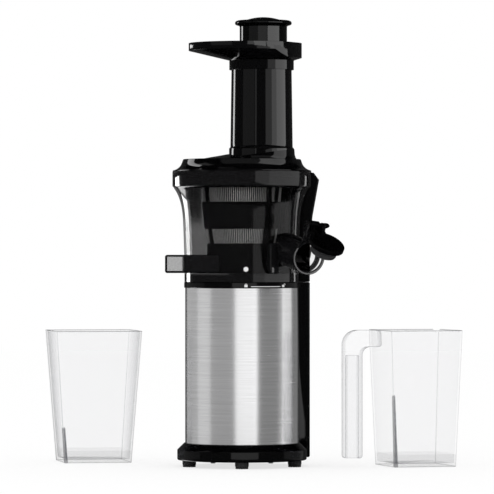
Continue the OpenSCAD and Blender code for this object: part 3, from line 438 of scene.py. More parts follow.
class Graph:
    """The nodes of one material or of the world."""

    def __init__(self, owner):
        owner.use_nodes = True
        self.tree = owner.node_tree
        self.tree.nodes.clear()

    def node(self, kind, settings=None, inputs=None, output=0):
        """Adds any node: its type, then its settings, then values or links for its sockets."""
        made = self.tree.nodes.new(kind)
        for key, value in (settings or {}).items():
            if key == "stops":
                marks = made.color_ramp.elements
                while len(marks) < len(value):
                    marks.new(0.5)
                for mark, (place, shade) in zip(list(marks), value):
                    mark.color = (shade, shade, shade, 1)
                for index, (place, shade) in enumerate(value):
                    marks[index].position = place
                    marks[index].color = (shade, shade, shade, 1)
            else:
                setattr(made, key, value)
        for key, value in (inputs or {}).items():
            if isinstance(value, Signal):
                self.tree.links.new(value.socket, made.inputs[key])
            else:
                made.inputs[key].default_value = value
        return Signal(self, made.outputs[output])

    def end(self, kind, **inputs):
        made = self.tree.nodes.new(kind)
        for key, value in inputs.items():
            self.tree.links.new(value.socket, made.inputs[key])

    def place(self, stretch=None):
        """Object coordinates, stretched along the axes."""
        where = self.node("ShaderNodeTexCoord", output="Object")
        if stretch:
            where = self.node("ShaderNodeMapping", inputs={"Vector": where, "Scale": stretch})
        return where

    def axis(self, name):
        return self.node("ShaderNodeSeparateXYZ", inputs={0: self.place()}).other(name)

    def constant(self, value):
        return self.node("ShaderNodeValue", output=0).given(value)

    def noise(self, scale, detail=2.0, stretch=None):
        return self.node("ShaderNodeTexNoise",
                         inputs={"Vector": self.place(stretch), "Scale": scale, "Detail": detail})

    def blend(self, factor, first, second):
        """Mixes two colours."""
        return self.node("ShaderNodeMix", {"data_type": "RGBA"},
                         {0: factor, 6: first, 7: second}, output=2)

    def bump(self, height, strength, depth=1.0):
        return self.node("ShaderNodeBump", inputs={"Strength": strength, "Distance": depth * MM,
                                                   "Height": height})

    def surface(self, **inputs):
        """A Principled surface, its sockets written with _ for spaces."""
        named = {key.replace("_", " "): value for key, value in inputs.items()}
        return self.node("ShaderNodeBsdfPrincipled", inputs=named)


def full(colour, factor=1.0):
    """A colour with its fourth channel, made lighter or darker."""
    return (*(min(1.0, channel * factor) for channel in colour), 1.0)


# ---- finishes ----

def gloss_black(g):
    """Polished injection-moulded plastic: faint waves in the reflections and a trace of wear."""
    waves = g.noise(34, 1.5)
    wear = g.noise(260, 4)
    base = g.blend(wear, full(colours().black), full(colours().black, 1.5))
    height = waves + 0.012 * g.noise(1400, 2)
    return g.surface(Base_Color=base, Roughness=0.045 + 0.05 * wear, Normal=g.bump(height, 0.16, 0.5),
                     IOR=1.5)


def inner_black(g):
    """Black plastic with a fine spark-eroded grain."""
    grain = g.noise(1500, 3)
    cloud = g.noise(60, 2)
    base = g.blend(cloud, full(colours().inner), full(colours().inner, 1.6))
    return g.surface(Base_Color=base, Roughness=0.3 + 0.14 * grain, Normal=g.bump(grain, 0.25, 0.12),
                     IOR=1.5)


def facing(g, power):
    """0 where the surface faces the eye, 1 where it is seen along its wall."""
    return g.node("ShaderNodeLayerWeight", inputs={"Blend": 0.5}, output="Facing") ** power


def see_through(g, colour, rim_colour, opacity, mirror, power=3.0, rim=0.97, tone=0.0):
    """Glossy see-through plastic: a share of body colour in the wall's face, and more of it along its rim."""
    along = facing(g, power)
    wear = g.noise(190, 4)
    shade = along.maths("MAXIMUM", along, tone)
    base = g.blend(shade, g.blend(wear, full(colour, 0.9), full(colour, 1.1)), full(rim_colour))
    opacity = opacity.maths("MAXIMUM", opacity, along * rim)
    return g.surface(Base_Color=base, Roughness=0.02 + 0.04 * wear, Alpha=opacity, IOR=mirror,
                     Normal=g.bump(g.noise(26, 1), 0.04, 0.5))


def smoke(g):
    """Dark see-through plastic of the bowl, deeper in its thick floor, its band and its left shoulder."""
    level = g.axis("Z")
    # Painted shade: the bowl's upper left wall is made more opaque, standing in for the shade seen behind it
    high = level.step(PAINTED_SHADE_Z[0] * MM, PAINTED_SHADE_Z[1] * MM)
    left = 1 - g.axis("X").step(PAINTED_SHADE_X[0] * MM, PAINTED_SHADE_X[1] * MM)
    painted_shade = high * left
    floor = 1 - level.step((Z_FLOOR + 1.0) * MM, (Z_FLOOR + 3.4) * MM)
    band = level.step((Z_BAND - 1.0) * MM, (Z_BAND + 0.5) * MM)
    opacity = 0.46 + 0.46 * floor + 0.42 * band + 0.25 * painted_shade * (1 - band)
    return see_through(g, colours().smoke, colours().smoke, opacity, 1.9)


def smoke_duct(g):
    """The pulp duct's thin plastic, dark where a wall is seen along its length."""
    x, level = g.axis("X"), g.axis("Z")
    low, high = DUCT_LOW * MM, DUCT_HIGH * MM
    wall = (DUCT_WALL - 0.2) * MM
    top = level.step(high.z - wall - 0.0002, high.z - wall)
    foot = 1 - level.step(low.z + wall, low.z + wall + 0.0002)
    mouth = 1 - x.step(low.x + 0.0014, low.x + 0.0017)
    # Painted shade: near the bowl the duct is made nearly opaque, standing in for its shaded inside
    root = x.step(-0.0575, -0.053)
    edge = root.maths("MAXIMUM", root.maths("MAXIMUM", top, foot), root.maths("MAXIMUM", mouth, root))
    return see_through(g, colours().smoke, colours().smoke, 0.21 + 0.75 * edge, 1.9)


def smoke_spout(g):
    """The spout's plastic: nearly black along the pipe, and lighter in the thin wall behind its dark lip."""
    ahead = (SPOUT.to_3x3() @ UP).normalized()
    spot = g.node("ShaderNodeVectorMath", {"operation": "SUBTRACT"},
                  {0: g.place(), 1: SPOUT.translation * MM})
    reach = g.node("ShaderNodeVectorMath", {"operation": "DOT_PRODUCT"}, {0: spot, 1: ahead}, output="Value")
    across = g.node("ShaderNodeVectorMath", {"operation": "CROSS_PRODUCT"}, {0: spot, 1: ahead})
    across = g.node("ShaderNodeVectorMath", {"operation": "LENGTH"}, {0: across}, output="Value")
    outer_side = g.axis("X").step(0.0630, 0.0640)
    thin = outer_side * reach.step(-0.029, -0.027) * (1 - across.step(0.0168, 0.017))
    ring = reach.step(-0.0150, -0.0146) * (1 - reach.step(-0.0086, -0.0082))
    edge = reach.step(-0.0012, -0.0010)
    return see_through(g, colours().smoke, colours().smoke,
                       0.97 - 0.89 * thin * (1 - ring) * (1 - edge), 1.45, 4.0)


def clear(g):
    """Clear plastic, greyer where it is looked at along its wall."""
    return see_through(g, colours().clear, colours().edge, g.constant(0.04), 1.7, 3.6, 0.85)


def clear_cup(g, placed, size, painted_corner_top):
    """Clear plastic of a cup: grey lines along its corners, its rim and its floor."""
    height, top, foot = (each * MM for each in size)
    turn = placed.to_euler().z
    spot = g.node("ShaderNodeMapping", {"vector_type": "TEXTURE"},
                  {"Vector": g.place(), "Location": placed.translation * MM, "Rotation": (0, 0, turn)})
    spot = g.node("ShaderNodeSeparateXYZ", inputs={0: spot})
    x, y, level = spot.other("X"), spot.other("Y"), spot.other("Z")
    side = foot / 2 + (top - foot) / 2 / height * level
    depth = side - x.maths("MINIMUM", x.maths("ABSOLUTE", x), x.maths("ABSOLUTE", y))
    line = 1 - depth.step(0.0009, 0.0013)
    # Painted reflection: a heavier dark line down the front-left corner, up to a given height, standing in
    # for dark surroundings seen in it
    near = ((1 - x.step(-0.001, 0)) * (1 - y.step(-0.001, 0))
            * (1 - level.step(painted_corner_top - 0.003, painted_corner_top)))
    painted_dark_corner = near * (1 - (depth + 0.016 * level).step(0.0032, 0.0038))
    ends = level.maths("MAXIMUM", level.step(height - 0.0011, height - 0.0007), 1 - level.step(0.0006, 0.001))
    slab = 1 - level.step(0.0115, 0.0125)
    opacity = 0.034 + 0.26 * line + 0.3 * ends + 0.05 * slab
    opacity = opacity.maths("MAXIMUM", opacity, 0.7 * painted_dark_corner)
    tone = slab.maths("MAXIMUM", 0.7 * slab, line.maths("MAXIMUM", line, ends.maths("MAXIMUM", ends, painted_dark_corner)))
    return see_through(g, colours().clear, colours().edge, opacity, 2.2, 8.0, 0.5, tone)


def clear_pulp(g):
    """Clear plastic of the pulp cup"""
    return clear_cup(g, PULP, PULP_SIZE, 0.036)


def clear_jug(g):
    """Clear plastic of the juice jug"""
    return clear_cup(g, JUG, JUG_SIZE, 0.07)


def brushed(g):
    """Brushed steel: level lines round the sleeve, with fine light and dark streaks."""
    lines = g.noise(1, 3, stretch=(20, 20, 3000))
    streaks = g.noise(1, 2, stretch=(18, 18, 1050))
    shade = (0.3 * lines + 0.7 * streaks).step(0.25, 0.75)
    base = g.blend(shade, full(colours().steel, 0.92), full(colours().steel, 1.08))
    return g.surface(Base_Color=base, Metallic=1.0, Roughness=0.2 + 0.1 * streaks, Anisotropic=0.5,
                     Anisotropic_Rotation=0.25, Normal=g.bump(lines, 0.1, 0.04))


def steel(g):
    """Machined steel of shafts, screws and bearings."""
    marks = g.noise(1, 3, stretch=(60, 60, 2600))
    cloud = g.noise(120, 3)
    base = g.blend(cloud, (0.46, 0.46, 0.47, 1), (0.6, 0.6, 0.61, 1))
    return g.surface(Base_Color=base, Metallic=1.0, Roughness=0.2 + 0.16 * marks,
                     Normal=g.bump(marks, 0.15, 0.05))


def mesh(g):
    """Etched strainer mesh: fine bright wire with a satin face."""
    marks = g.noise(1, 2, stretch=(900, 900, 60))
    base = g.blend(marks, (0.5, 0.5, 0.49, 1), (0.86, 0.86, 0.85, 1))
    return g.surface(Base_Color=base, Metallic=0.35, Roughness=0.42 + 0.16 * marks,
                     Normal=g.bump(marks, 0.2, 0.05))


def laminations(g):
    """A stack of thin sheets, lacquered dark on their edges."""
    sheets = g.node("ShaderNodeTexWave", {"bands_direction": "Z"},
                    {"Vector": g.place(), "Scale": 320.0, "Distortion": 0.0, "Detail": 0.0}, output="Fac")
    rust = g.noise(210, 4)
    base = g.blend(sheets * (0.6 + 0.4 * rust), (0.1, 0.095, 0.09, 1), (0.36, 0.35, 0.34, 1))
    return g.surface(Base_Color=base, Metallic=0.85, Roughness=0.34 + 0.2 * rust,
                     Normal=g.bump(sheets, 0.5, 0.15))


def rubber(g):
    """Matt moulded rubber with a dusty bloom."""
    grain = g.noise(1100, 3)
    bloom = g.noise(90, 3)
    base = g.blend(bloom, full(colours().rubber), full(colours().rubber, 1.9))
    return g.surface(Base_Color=base, Roughness=0.5 + 0.18 * grain, Normal=g.bump(grain, 0.3, 0.12))


def white_print(g):
    """Pad-printed white ink, a little thin in places."""
    ink = g.noise(2200, 2)
    base = g.blend(ink, full(colours().print_white, 0.93), full(colours().print_white))
    return g.surface(Base_Color=base, Roughness=0.42 + 0.1 * ink, Normal=g.bump(ink, 0.15, 0.02))


def copper(g):
    """Enamelled wire, wound in turns."""
    turns = g.node("ShaderNodeTexWave", {"wave_type": "RINGS", "rings_direction": "Z"},
                   {"Vector": g.place(), "Scale": 420.0, "Distortion": 1.2, "Detail": 1.0}, output="Fac")
    base = g.blend(turns, (0.26, 0.09, 0.035, 1), (0.72, 0.33, 0.15, 1))
    return g.surface(Base_Color=base, Metallic=0.8, Roughness=0.3 + 0.12 * turns,
                     Normal=g.bump(turns, 0.7, 0.3))


def nylon(g):
    """Natural nylon of the gears, with mould flow."""
    flow = g.noise(130, 4)
    base = g.blend(flow, (0.66, 0.62, 0.53, 1), (0.8, 0.77, 0.69, 1))
    return g.surface(Base_Color=base, Roughness=0.38 + 0.14 * flow, Normal=g.bump(g.noise(900, 2), 0.15, 0.1))


def board(g):
    """Circuit board with lacquered tracks."""
    tracks = g.node("ShaderNodeTexBrick", inputs={
        "Vector": g.place(), "Scale": 240.0, "Mortar Size": 0.06, "Color1": (0.008, 0.075, 0.03, 1),
        "Color2": (0.012, 0.1, 0.045, 1), "Mortar": (0.05, 0.2, 0.09, 1)})
    lacquer = g.noise(300, 2)
    return g.surface(Base_Color=tracks, Roughness=0.28 + 0.12 * lacquer,
                     Normal=g.bump(tracks.other("Fac"), 0.3, 0.05))


FINISHES = {each.__name__: each for each in (
    gloss_black, inner_black, smoke, smoke_duct, smoke_spout, clear, clear_pulp, clear_jug, brushed, steel,
    mesh, laminations, rubber, white_print, copper, nylon, board)}


def material(finish):
    """The material of a finish, made the first time it is asked for."""
    made = bpy.data.materials.get("finish_" + finish)
    if made is None:
        made = bpy.data.materials.new("finish_" + finish)
        g = Graph(made)
        g.end("ShaderNodeOutputMaterial", Surface=FINISHES[finish](g))
    return made


# ---- the frame's own nodes ----

NODE_FINISHES = {
    "gloss_black": ("top_deck", "rear_column", "switch_bezel", "rocker", "bowl_rear_cover", "lid",
                    "feed_chute", "hopper_tray", "pusher", "spout_cap", "base_ring"),
    "inner_black": ("bottom_plate", "inner_housing", "switch_body", "interlock_switch", "gearbox_case",
                    "gearbox_lid", "auger", "strainer_frame", "brush_frame"),
    "smoke": ("juicing_bowl", "juice_spout", "rim_catch", "pulp_duct"),
    "clear": ("pulp_cup", "juice_jug", "jug_handle"),
    "brushed": ("steel_sleeve",),
    "steel": ("bottom_screws", "motor_can", "motor_bracket", "motor_bearings", "gearbox_screws", "idler_axle",
              "output_bearing", "motor_shaft", "drive_shaft", "cap_hinge_pin", "interlock_rod",
              "rod_spring", "strainer_mesh"),
    "laminations": ("motor_stator", "rotor_core"),
    "rubber": ("rubber_feet", "cord_gland", "deck_seal", "bowl_seal", "silicone_wipers", "lid_seal",
               "cap_plug"),
    "white_print": ("lock_marks", "alignment_dot"),
    "copper": ("motor_windings",),
    "nylon": ("cooling_fan", "idler_gears", "output_gear"),
    "board": ("control_board",),
}


def finish_nodes():
    """Materials of the frame's own nodes, and the spring that shortens as its rod is pressed"""
    for finish, nodes in NODE_FINISHES.items():
        for node in nodes:
            slots = frame["nodes"][node].data.materials
            slots.clear()
            slots.append(material(finish))
    spring = frame["nodes"]["rod_spring"]
    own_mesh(spring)


# ---- motor body ----

def make_base_ring():
    """Ring with its bevel, under the steel sleeve"""
    inner = STEEL_R + 0.15
    ring = turned([(49.1, Z_RING), (RING_R - 0.7, Z_RING), (RING_R, Z_RING + 0.8), (RING_R, 15.8),
                   (RING_R - 0.5, 16.4), (STEEL_R + 1.0, Z_STEEL), (inner, Z_STEEL), (inner, 19.0),
                   (45.4, 19.0), (45.4, 9.0), (49.1, 9.0)])
    soften(ring, 0.4, 3, 20)
    settle(ring, "base_bevel_ring", "base", "gloss_black", "base_ring")


def make_feet():
    """One rubber foot with a ribbed sole, and its copies"""
    foot = turned([(0, 1.2), (5.0, 1.2), (5.3, 2.2), (6.2, 2.2), (6.5, 2.5), (6.5, Z_RING), (2.6, Z_RING),
                   (2.6, Z_RING + 3.4), (0, Z_RING + 3.4)], centre=(0, -FOOT_RING_R), sides=48, closed=False)
    rib = turned([(0, 0), (0.7, 0), (1.0, 0.3), (1.0, 2.6), (0, 2.6)],
                 centre=(0, -FOOT_RING_R - FOOT_RIB_R), sides=16, closed=False)
    pad = turned([(0, 0), (2.4, 0), (2.8, 0.4), (2.8, 1.5), (0, 1.5)],
                 centre=(0, -FOOT_RING_R), sides=32, closed=False)
    ribs = []
    for index in range(FOOT_RIBS):
        about = Matrix.Translation((0, -FOOT_RING_R, 0)) @ Matrix.Rotation(2 * pi * index / FOOT_RIBS, 4, "Z")
        ribs.append(copied(rib, about @ Matrix.Translation((0, FOOT_RING_R, 0))))
    bpy.data.objects.remove(rib)
    joined(foot, pad, *ribs)
    for index, turn in enumerate(FOOT_TURNS):
        other = copied(foot, Matrix.Rotation(radians(turn), 4, "Z"))
        settle(other, f"rubber_foot_{index + 2}", "base", "rubber")
    settle(foot, "rubber_foot_1", "base", "rubber", "rubber_feet")


def make_sleeve():
    """Brushed steel sleeve with rolled lips"""
    low, high = SLEEVE_LOW.z, SLEEVE_HIGH.z
    inner = STEEL_R - 0.8
    sleeve = turned([(inner, low), (STEEL_R, low), (STEEL_R, high), (inner, high)], sides=192)
    soften(sleeve, 0.25, 3)
    window = move(block((40, -9, 49), (60, 9, 75)), COLUMN)
    gland = turned([(0, 40), (3.6, 40), (3.6, 62), (0, 62)], sides=48, closed=False)
    move(gland, COLUMN @ Matrix.Translation((0, 0, 30.4)) @ Matrix.Rotation(radians(90), 4, "Y"))
    settle(cut(sleeve, window, gland), "brushed_sleeve", "base", "brushed", "steel_sleeve")


def make_deck():
    """Black deck collar with its rounded edge"""
    deck = cad_copy("top_deck", 0.35, 3, 30)
    settle(deck, "deck_collar", "base", "gloss_black", "top_deck")


def make_column():
    """Rear column with its vents, and the switch that sits on it"""
    settle(cad_copy("rear_column", 0.5, 3, 30), "rear_spine", "base", "gloss_black", "rear_column")
    settle(cad_copy("switch_bezel", 0.5, 3), "switch_frame", "base", "gloss_black", "switch_bezel")
    settle(cad_copy("rocker", 0.5, 3), "switch_paddle", "switch_rocker", "gloss_black", "rocker")
    settle(cad_copy("cord_gland", 0.3, 2), "cord_sleeve", "base", "rubber", "cord_gland")


# ---- bowl ----

def bowl_line(z):
    """Outer radius of the bowl at a height: nearly straight, then flaring up to the band."""
    start = 0.45 * (Z_BAND - Z_BOWL)
    rise = max(0.0, z - Z_BOWL - 20)
    up = max(0.0, z - Z_BOWL - start)
    height = Z_BAND - Z_BOWL - start - 1.6
    return BOWL_R + 0.033 * rise + (BAND_R - BOWL_R - 3.9) * (up / height) ** 4.2


def bowl_outline(inset=0.0):
    """Rings of the bowl's outer face, from its foot to the rim."""
    start, end = Z_BOWL + 0.45 * (Z_BAND - Z_BOWL), Z_BAND - 1.6
    levels = [Z_BOWL, Z_BOWL + 20] + [start + (end - start) * i / 18 for i in range(19)]
    rings = [(bowl_line(z) - inset, z) for z in levels]
    return rings + [(BAND_R - 1.0 - inset, Z_BAND - 0.35), (BAND_R - 0.3 - inset, Z_BAND + 0.1),
                    (BAND_R - inset, Z_BAND + 0.8)]


def bowl_body(grow=0.06):
    """The space that the bowl fills, as a cutting tool."""
    rings = [(r + grow, z) for r, z in bowl_outline()] + [(BAND_R + grow, Z_RIM)]
    return turned([(0, Z_BOWL - 0.5)] + rings + [(0, Z_RIM)], closed=False)


def spout_tool():
    """The bore of the juice spout, as a cutting tool."""
    bore = turned([(0, -62), (13.3, -62), (13.3, 20), (0, 20)], sides=96, closed=False)
    return move(bore, SPOUT)


def duct_tool(wall=DUCT_WALL):
    low, high = DUCT_LOW, DUCT_HIGH
    return block((low.x - 20, low.y + wall, low.z + wall),
                 (high.x - wall + 0.6, high.y - wall, high.z - wall), 0.8)


def make_bowl():
    """Smoke bowl with the band round its rim, its floor and hub, and the catch on the band"""
    outer = bowl_outline()
    inner = [(r, z + 0.9 if z > Z_BAND - 1 else z) for r, z in bowl_outline(BOWL_WALL)]
    rim = [(BAND_R, Z_RIM - 0.5), (BAND_R - 0.4, Z_RIM), (BAND_R - BOWL_WALL + 0.4, Z_RIM),
           (BAND_R - BOWL_WALL, Z_RIM - 0.5)]
    floor = [(52.5, Z_FLOOR + 2.5), (11.4, Z_FLOOR + 2.5), (11.4, Z_FLOOR + 6.5), (9.3, Z_FLOOR + 6.5),
             (9.3, Z_FLOOR), (52.5, Z_FLOOR), (52.5, Z_BOWL)]
    down = [(r, z) for r, z in reversed(inner) if z > Z_FLOOR + 3]
    bowl = turned(outer + rim + down + floor)
    cut(bowl, spout_tool(), duct_tool())
    settle(bowl, "smoke_bowl", "bowl", "smoke", "juicing_bowl")
    catch = block((BAND_R + 0.05, -3.8, Z_BAND + 0.5), (BAND_R + 0.8, 3.8, Z_BAND + 11.5), 0.3)
    move(catch, Matrix.Rotation(radians(-16.4), 4, "Z"))
    settle(catch, "band_catch", "bowl", "smoke", "rim_catch")


def make_duct():
    """Pulp duct with rounded corners"""
    duct = block(DUCT_LOW, DUCT_HIGH, 2.0, 4)
    cut(duct, duct_tool(), bowl_body())
    soften(duct, 0.3, 2, 50)
    settle(duct, "pulp_channel", "bowl", "smoke_duct", "pulp_duct")


def make_spout():
    """Juice spout with its lip, hinge bracket and root fairing"""
    pipe = turned([(0, -73), (15.5, -73), (15.5, -4.4), (15.9, -3.8), (16.5, -3.4), (16.5, -0.7), (15.9, 0),
                   (14.6, 0), (13.0, -1.1), (0, -1.1)], sides=96, closed=False)
    move(pipe, SPOUT)
    bracket = []
    for side in (-1, 1):
        near, far = sorted((side * 7, side * 9.4))
        ear = block((-33.9, near, -3.6), (-18.9, far, 4.9), 0.8)
        root = block((-19.6, near + 0.1, -3.5), (-13.5, far - 0.1, -1.1), 0.3)
        bracket += [ear, root]
    bracket.append(block((-28, -9.2, -3.4), (-13.2, 9.2, -1.2), 0.4))
    saddle = block((BOWL_R - 8, -4.6, Z_BOWL + 8), (BOWL_R + 6, 4.6, Z_BOWL + 37), 1.2)
    move(saddle, Matrix.Rotation(radians(-59), 4, "Z"))
    fuse(pipe, saddle, *(move(each, SPOUT) for each in bracket))
    pin = turned([(0, -20), (1.3, -20), (1.3, 20), (0, 20)], sides=32, closed=False)
    move(pin, SPOUT @ Matrix.Translation(HINGE) @ Matrix.Rotation(radians(90), 4, "X"))
    cut(pipe, pin, bowl_body(), spout_tool())
    settle(pipe, "spout_pipe", "bowl", "smoke_spout", "juice_spout")


def make_rear_cover():
    """Black cover behind the bowl"""
    settle(cad_copy("bowl_rear_cover", 0.5, 3, 30), "rear_shell", "bowl", "gloss_black", "bowl_rear_cover")


def strainer_line(z):
    """Outer radius of the strainer at a height."""
    if z < Z_MESH[0][0]:
        return STRAINER_FOOT_R
    share = (z - Z_MESH[0][0]) / (Z_MESH[1][1] - Z_MESH[0][0])
    return STRAINER_FOOT_R + (STRAINER_TOP_R - STRAINER_FOOT_R) * share ** 0.7


def make_strainer():
    """Strainer frame with its windows, and the upright wires of its two mesh bands"""
    wall = 1.6
    foot = Z_FLOOR + 2.5
    levels = [foot + 1, 205, 212.1, 217, 222, 226.9, 235, 243, 251.7, 258, 265, 272.7]
    outer = [(strainer_line(z), z) for z in levels]
    rings = ([(11.4, foot), (STRAINER_FOOT_R - 1, foot)] + outer
             + [(STRAINER_TOP_R + 0.8, 273.1), (STRAINER_TOP_R + 0.8, 275.3), (STRAINER_TOP_R + 0.4, 275.7),
                (STRAINER_TOP_R - wall, 275.7)]
             + [(r - wall, z) for r, z in reversed(outer) if z > 190]
             + [(STRAINER_FOOT_R - wall, foot + 2.4), (11.4, foot + 2.4)])
    basket = turned(rings)
    windows = []
    for low, high in Z_MESH:
        opening = drawn([(3, -4.45), (42, -62.3), (60, 0), (42, 62.3), (3, 4.45)], high - low - 1)
        move(opening, Matrix.Translation((0, 0, low + 0.5)))
        for index in range(3):
            windows.append(copied(opening, Matrix.Rotation(radians(120 * index + 30), 4, "Z")))
        bpy.data.objects.remove(opening)
    cut(basket, joined(*windows))
    soften(basket, 0.2, 2, 40)
    settle(basket, "strainer_basket", "bowl", "inner_black", "strainer_frame")
    wires = []
    thick = sizes().wire / MM
    for low, high in Z_MESH:
        near, far = strainer_line(low) - wall - 0.3, strainer_line(high) - wall - 0.3
        lean = atan((far - near) / (high - low))
        wire = block((-thick / 2, -thick / 2, 0), (thick / 2, thick / 2, high - low - 0.4))
        move(wire, Matrix.Translation((near, 0, low + 0.2)) @ Matrix.Rotation(lean, 4, "Y"))
        open_mesh(wire)
        bpy.ops.mesh.spin(steps=sizes().wire_count, dupli=True, angle=2 * pi,
                          center=(0, 0, 0), axis=(0, 0, 1))
        bpy.ops.object.mode_set(mode="OBJECT")
        wires.append(wire)
        for share in (0.0, 1.0):
            r, z = near + (far - near) * share, low + (high - low) * share
            wires.append(turned([(r - 0.3, z), (r, z - 0.25), (r + 0.15, z), (r, z + 0.25)]))
    settle(joined(*wires), "strainer_wires", "bowl", "mesh", "strainer_mesh")


# ---- spout cap ----

def make_cap():
    """Spout cap with its finger tab, and the ribbed plug below it"""
    plate = turned([(0, 0.9), (16.9, 0.9), (16.9, -0.7), (17.3, -0.7), (17.3, 3.0), (16.7, 3.5), (14.6, 3.5),
                    (14.2, 3.1), (0, 3.1)], sides=96, closed=False)
    soften(plate, 0.25, 2, 30)
    arm = block((-31, -5.4, 0.3), (-14.5, 5.4, 3.4), 0.7)
    barrel = turned([(0, -6.7), (2.9, -6.7), (2.9, 6.7), (0, 6.7)], sides=48, closed=False)
    soften(barrel, 0.4, 2)
    move(barrel, Matrix.Translation(HINGE) @ Matrix.Rotation(radians(90), 4, "X"))
    neck = block((-39.4, -6.2, -0.6), (-31, 6.2, 2.3), 0.5)
    lever = drawn([(-6.4, -9), (11.2, -9), (12.2, -6.4), (14.5, -4.2), (17.6, -2.2), (18.2, -0.6), (17, 1),
                   (14.5, 1.6), (11, 1.2), (5, -0.8), (-0.5, -2.8), (-4.5, -4.6), (-6.4, -5.6)], 2.3)
    soften(lever, 0.7, 3, 20)
    upright = Matrix(((0, 0, 1, 0), (1, 0, 0, 0), (0, 1, 0, 0), (0, 0, 0, 1)))
    move(lever, Matrix.Translation((-39.7, 0, 0)) @ upright)
    fuse(plate, arm, barrel, neck, lever)
    pin = turned([(0, -20), (1.35, -20), (1.35, 20), (0, 20)], sides=32, closed=False)
    move(pin, Matrix.Translation(HINGE) @ Matrix.Rotation(radians(90), 4, "X"))
    move(cut(plate, pin), CAP)
    settle(plate, "cap_plate", "cap", "gloss_black", "spout_cap")
    lips = []
    for index in range(sizes().plug_lips):
        level = -1.2 - 8.0 * index / sizes().plug_lips
        lips += [(12.2, level), (12.7, level - 0.5), (12.7, level - 1.1), (12.2, level - 1.6)]
    plug = turned([(9.6, 0.2), (12.2, 0.2)] + lips + [(12.1, -8.9), (11.6, -9.2), (9.6, -9.2)], sides=96)
    settle(move(plug, CAP), "spout_plug", "cap", "rubber", "cap_plug")


# ---- lid, chute, tray and pusher ----

def make_lid():
    """Lid with its flared edge, and the fillet that rises to the chute"""
    edge = [(55.4, Z_LID_TOP), (56.2, Z_LID_TOP - 0.3), (56.5, Z_LID_TOP - 1.1), (57.0, Z_LID + 9.0),
            (57.6, Z_LID + 7.2), (58.4, Z_LID + 5.6), (59.4, Z_LID + 4.3), (60.8, Z_LID + 3.0),
            (62.4, Z_LID + 1.9), (64.0, Z_LID + 1.2), (65.4, Z_LID + 0.8), (66.0, Z_LID + 0.6),
            (66.2, Z_LID + 0.2), (66.1, Z_LID), (63.6, Z_LID),
            (63.6, Z_LID - 7.6), (63.2, Z_LID - 8), (62.0, Z_LID - 8), (61.6, Z_LID - 7.6),
            (61.6, Z_LID + 0.4), (56.1, Z_LID + 5), (53.5, Z_LID_TOP - 2.6), (0, Z_LID_TOP - 2.6)]
    lid = turned([(0, Z_LID_TOP)] + edge, closed=False)
    slope = [(1.0, -0.5), (1.0, 0), (0.9, 0.7), (0.75, 2.0), (0.59, 3.2), (0.4, 4.8), (0.2, 5.4), (0, 5.4)]
    ramp = turned([(0, Z_LID_TOP - 0.5)] + [(46 * r, Z_LID_TOP + up) for r, up in slope],
                  centre=(CHUTE_X - 14, 0), closed=False)
    open_mesh(ramp)
    bpy.ops.transform.resize(value=(1, 34 / 46, 1), center_override=(0, 0, 0))
    bpy.ops.object.mode_set(mode="OBJECT")
    skirt = turned([(28, Z_LID_TOP - 1), (34.0, Z_LID_TOP - 1), (33.6, Z_LID_TOP), (32.7, Z_LID_TOP + 1.4),
                    (31.8, Z_LID_TOP + 4), (31.2, Z_LID_TOP + 12), (28, Z_LID_TOP + 12)], centre=(CHUTE_X, 0))
    above = block((-60, -60, 0), (60, 60, 30))
    move(above, Matrix.Translation((CHUTE_X, 0, Z_LID_TOP + 5.4)) @ Matrix.Rotation(radians(-7.5), 4, "Y"))
    soften(cut(skirt, above), 0.7, 3, 35)
    tongue = move(block((BAND_R - 6, -6, Z_LID), (BAND_R + 5.4, 6, Z_LID + 2.4), 0.7), COLUMN)
    bore = turned([(0, Z_LID - 20), (CHUTE_BORE, Z_LID - 20), (CHUTE_BORE, Z_LID + 40), (0, Z_LID + 40)],
                  centre=(CHUTE_X, 0), closed=False)
    groove = turned([(62.4, Z_LID - 5.4), (66.4, Z_LID - 5.4), (66.4, Z_LID - 3.2), (62.4, Z_LID - 3.2)])
    cut(fuse(lid, ramp, skirt, tongue), bore, groove)
    settle(lid, "lid_shell", "lid_body", "gloss_black", "lid")


def make_chute():
    """Feed chute with its stepped foot"""
    foot, step, wide = Z_CHUTE, FOOT_STEP_R, CHUTE_R
    rings = [(CHUTE_BORE, foot), (step - 0.3, foot), (step, foot + 0.4), (step, foot + 6.8),
             (step - 0.3, foot + 7.6), (step - 1, foot + 8.1), (wide - 0.05, foot + 8.5),
             (wide - 0.1, foot + 12)]
    rings += [(wide - 0.1 - 1.1 * i / 6, foot + 12 + (Z_CHUTE_TOP - foot - 12.6) * i / 6)
              for i in range(1, 7)]
    rings += [(wide - 1.6, Z_CHUTE_TOP), (CHUTE_BORE + 0.5, Z_CHUTE_TOP), (CHUTE_BORE, Z_CHUTE_TOP - 0.6)]
    chute = turned(rings, centre=(CHUTE_X, 0))
    settle(chute, "chute_tube", "lid_body", "gloss_black", "feed_chute")


def make_tray():
    """Hopper tray: round, with flat facets towards its right end, and the collar below it"""
    settle(cad_copy("hopper_tray", 0.7, 4, 20), "tray_shell", "tray", "gloss_black", "hopper_tray")


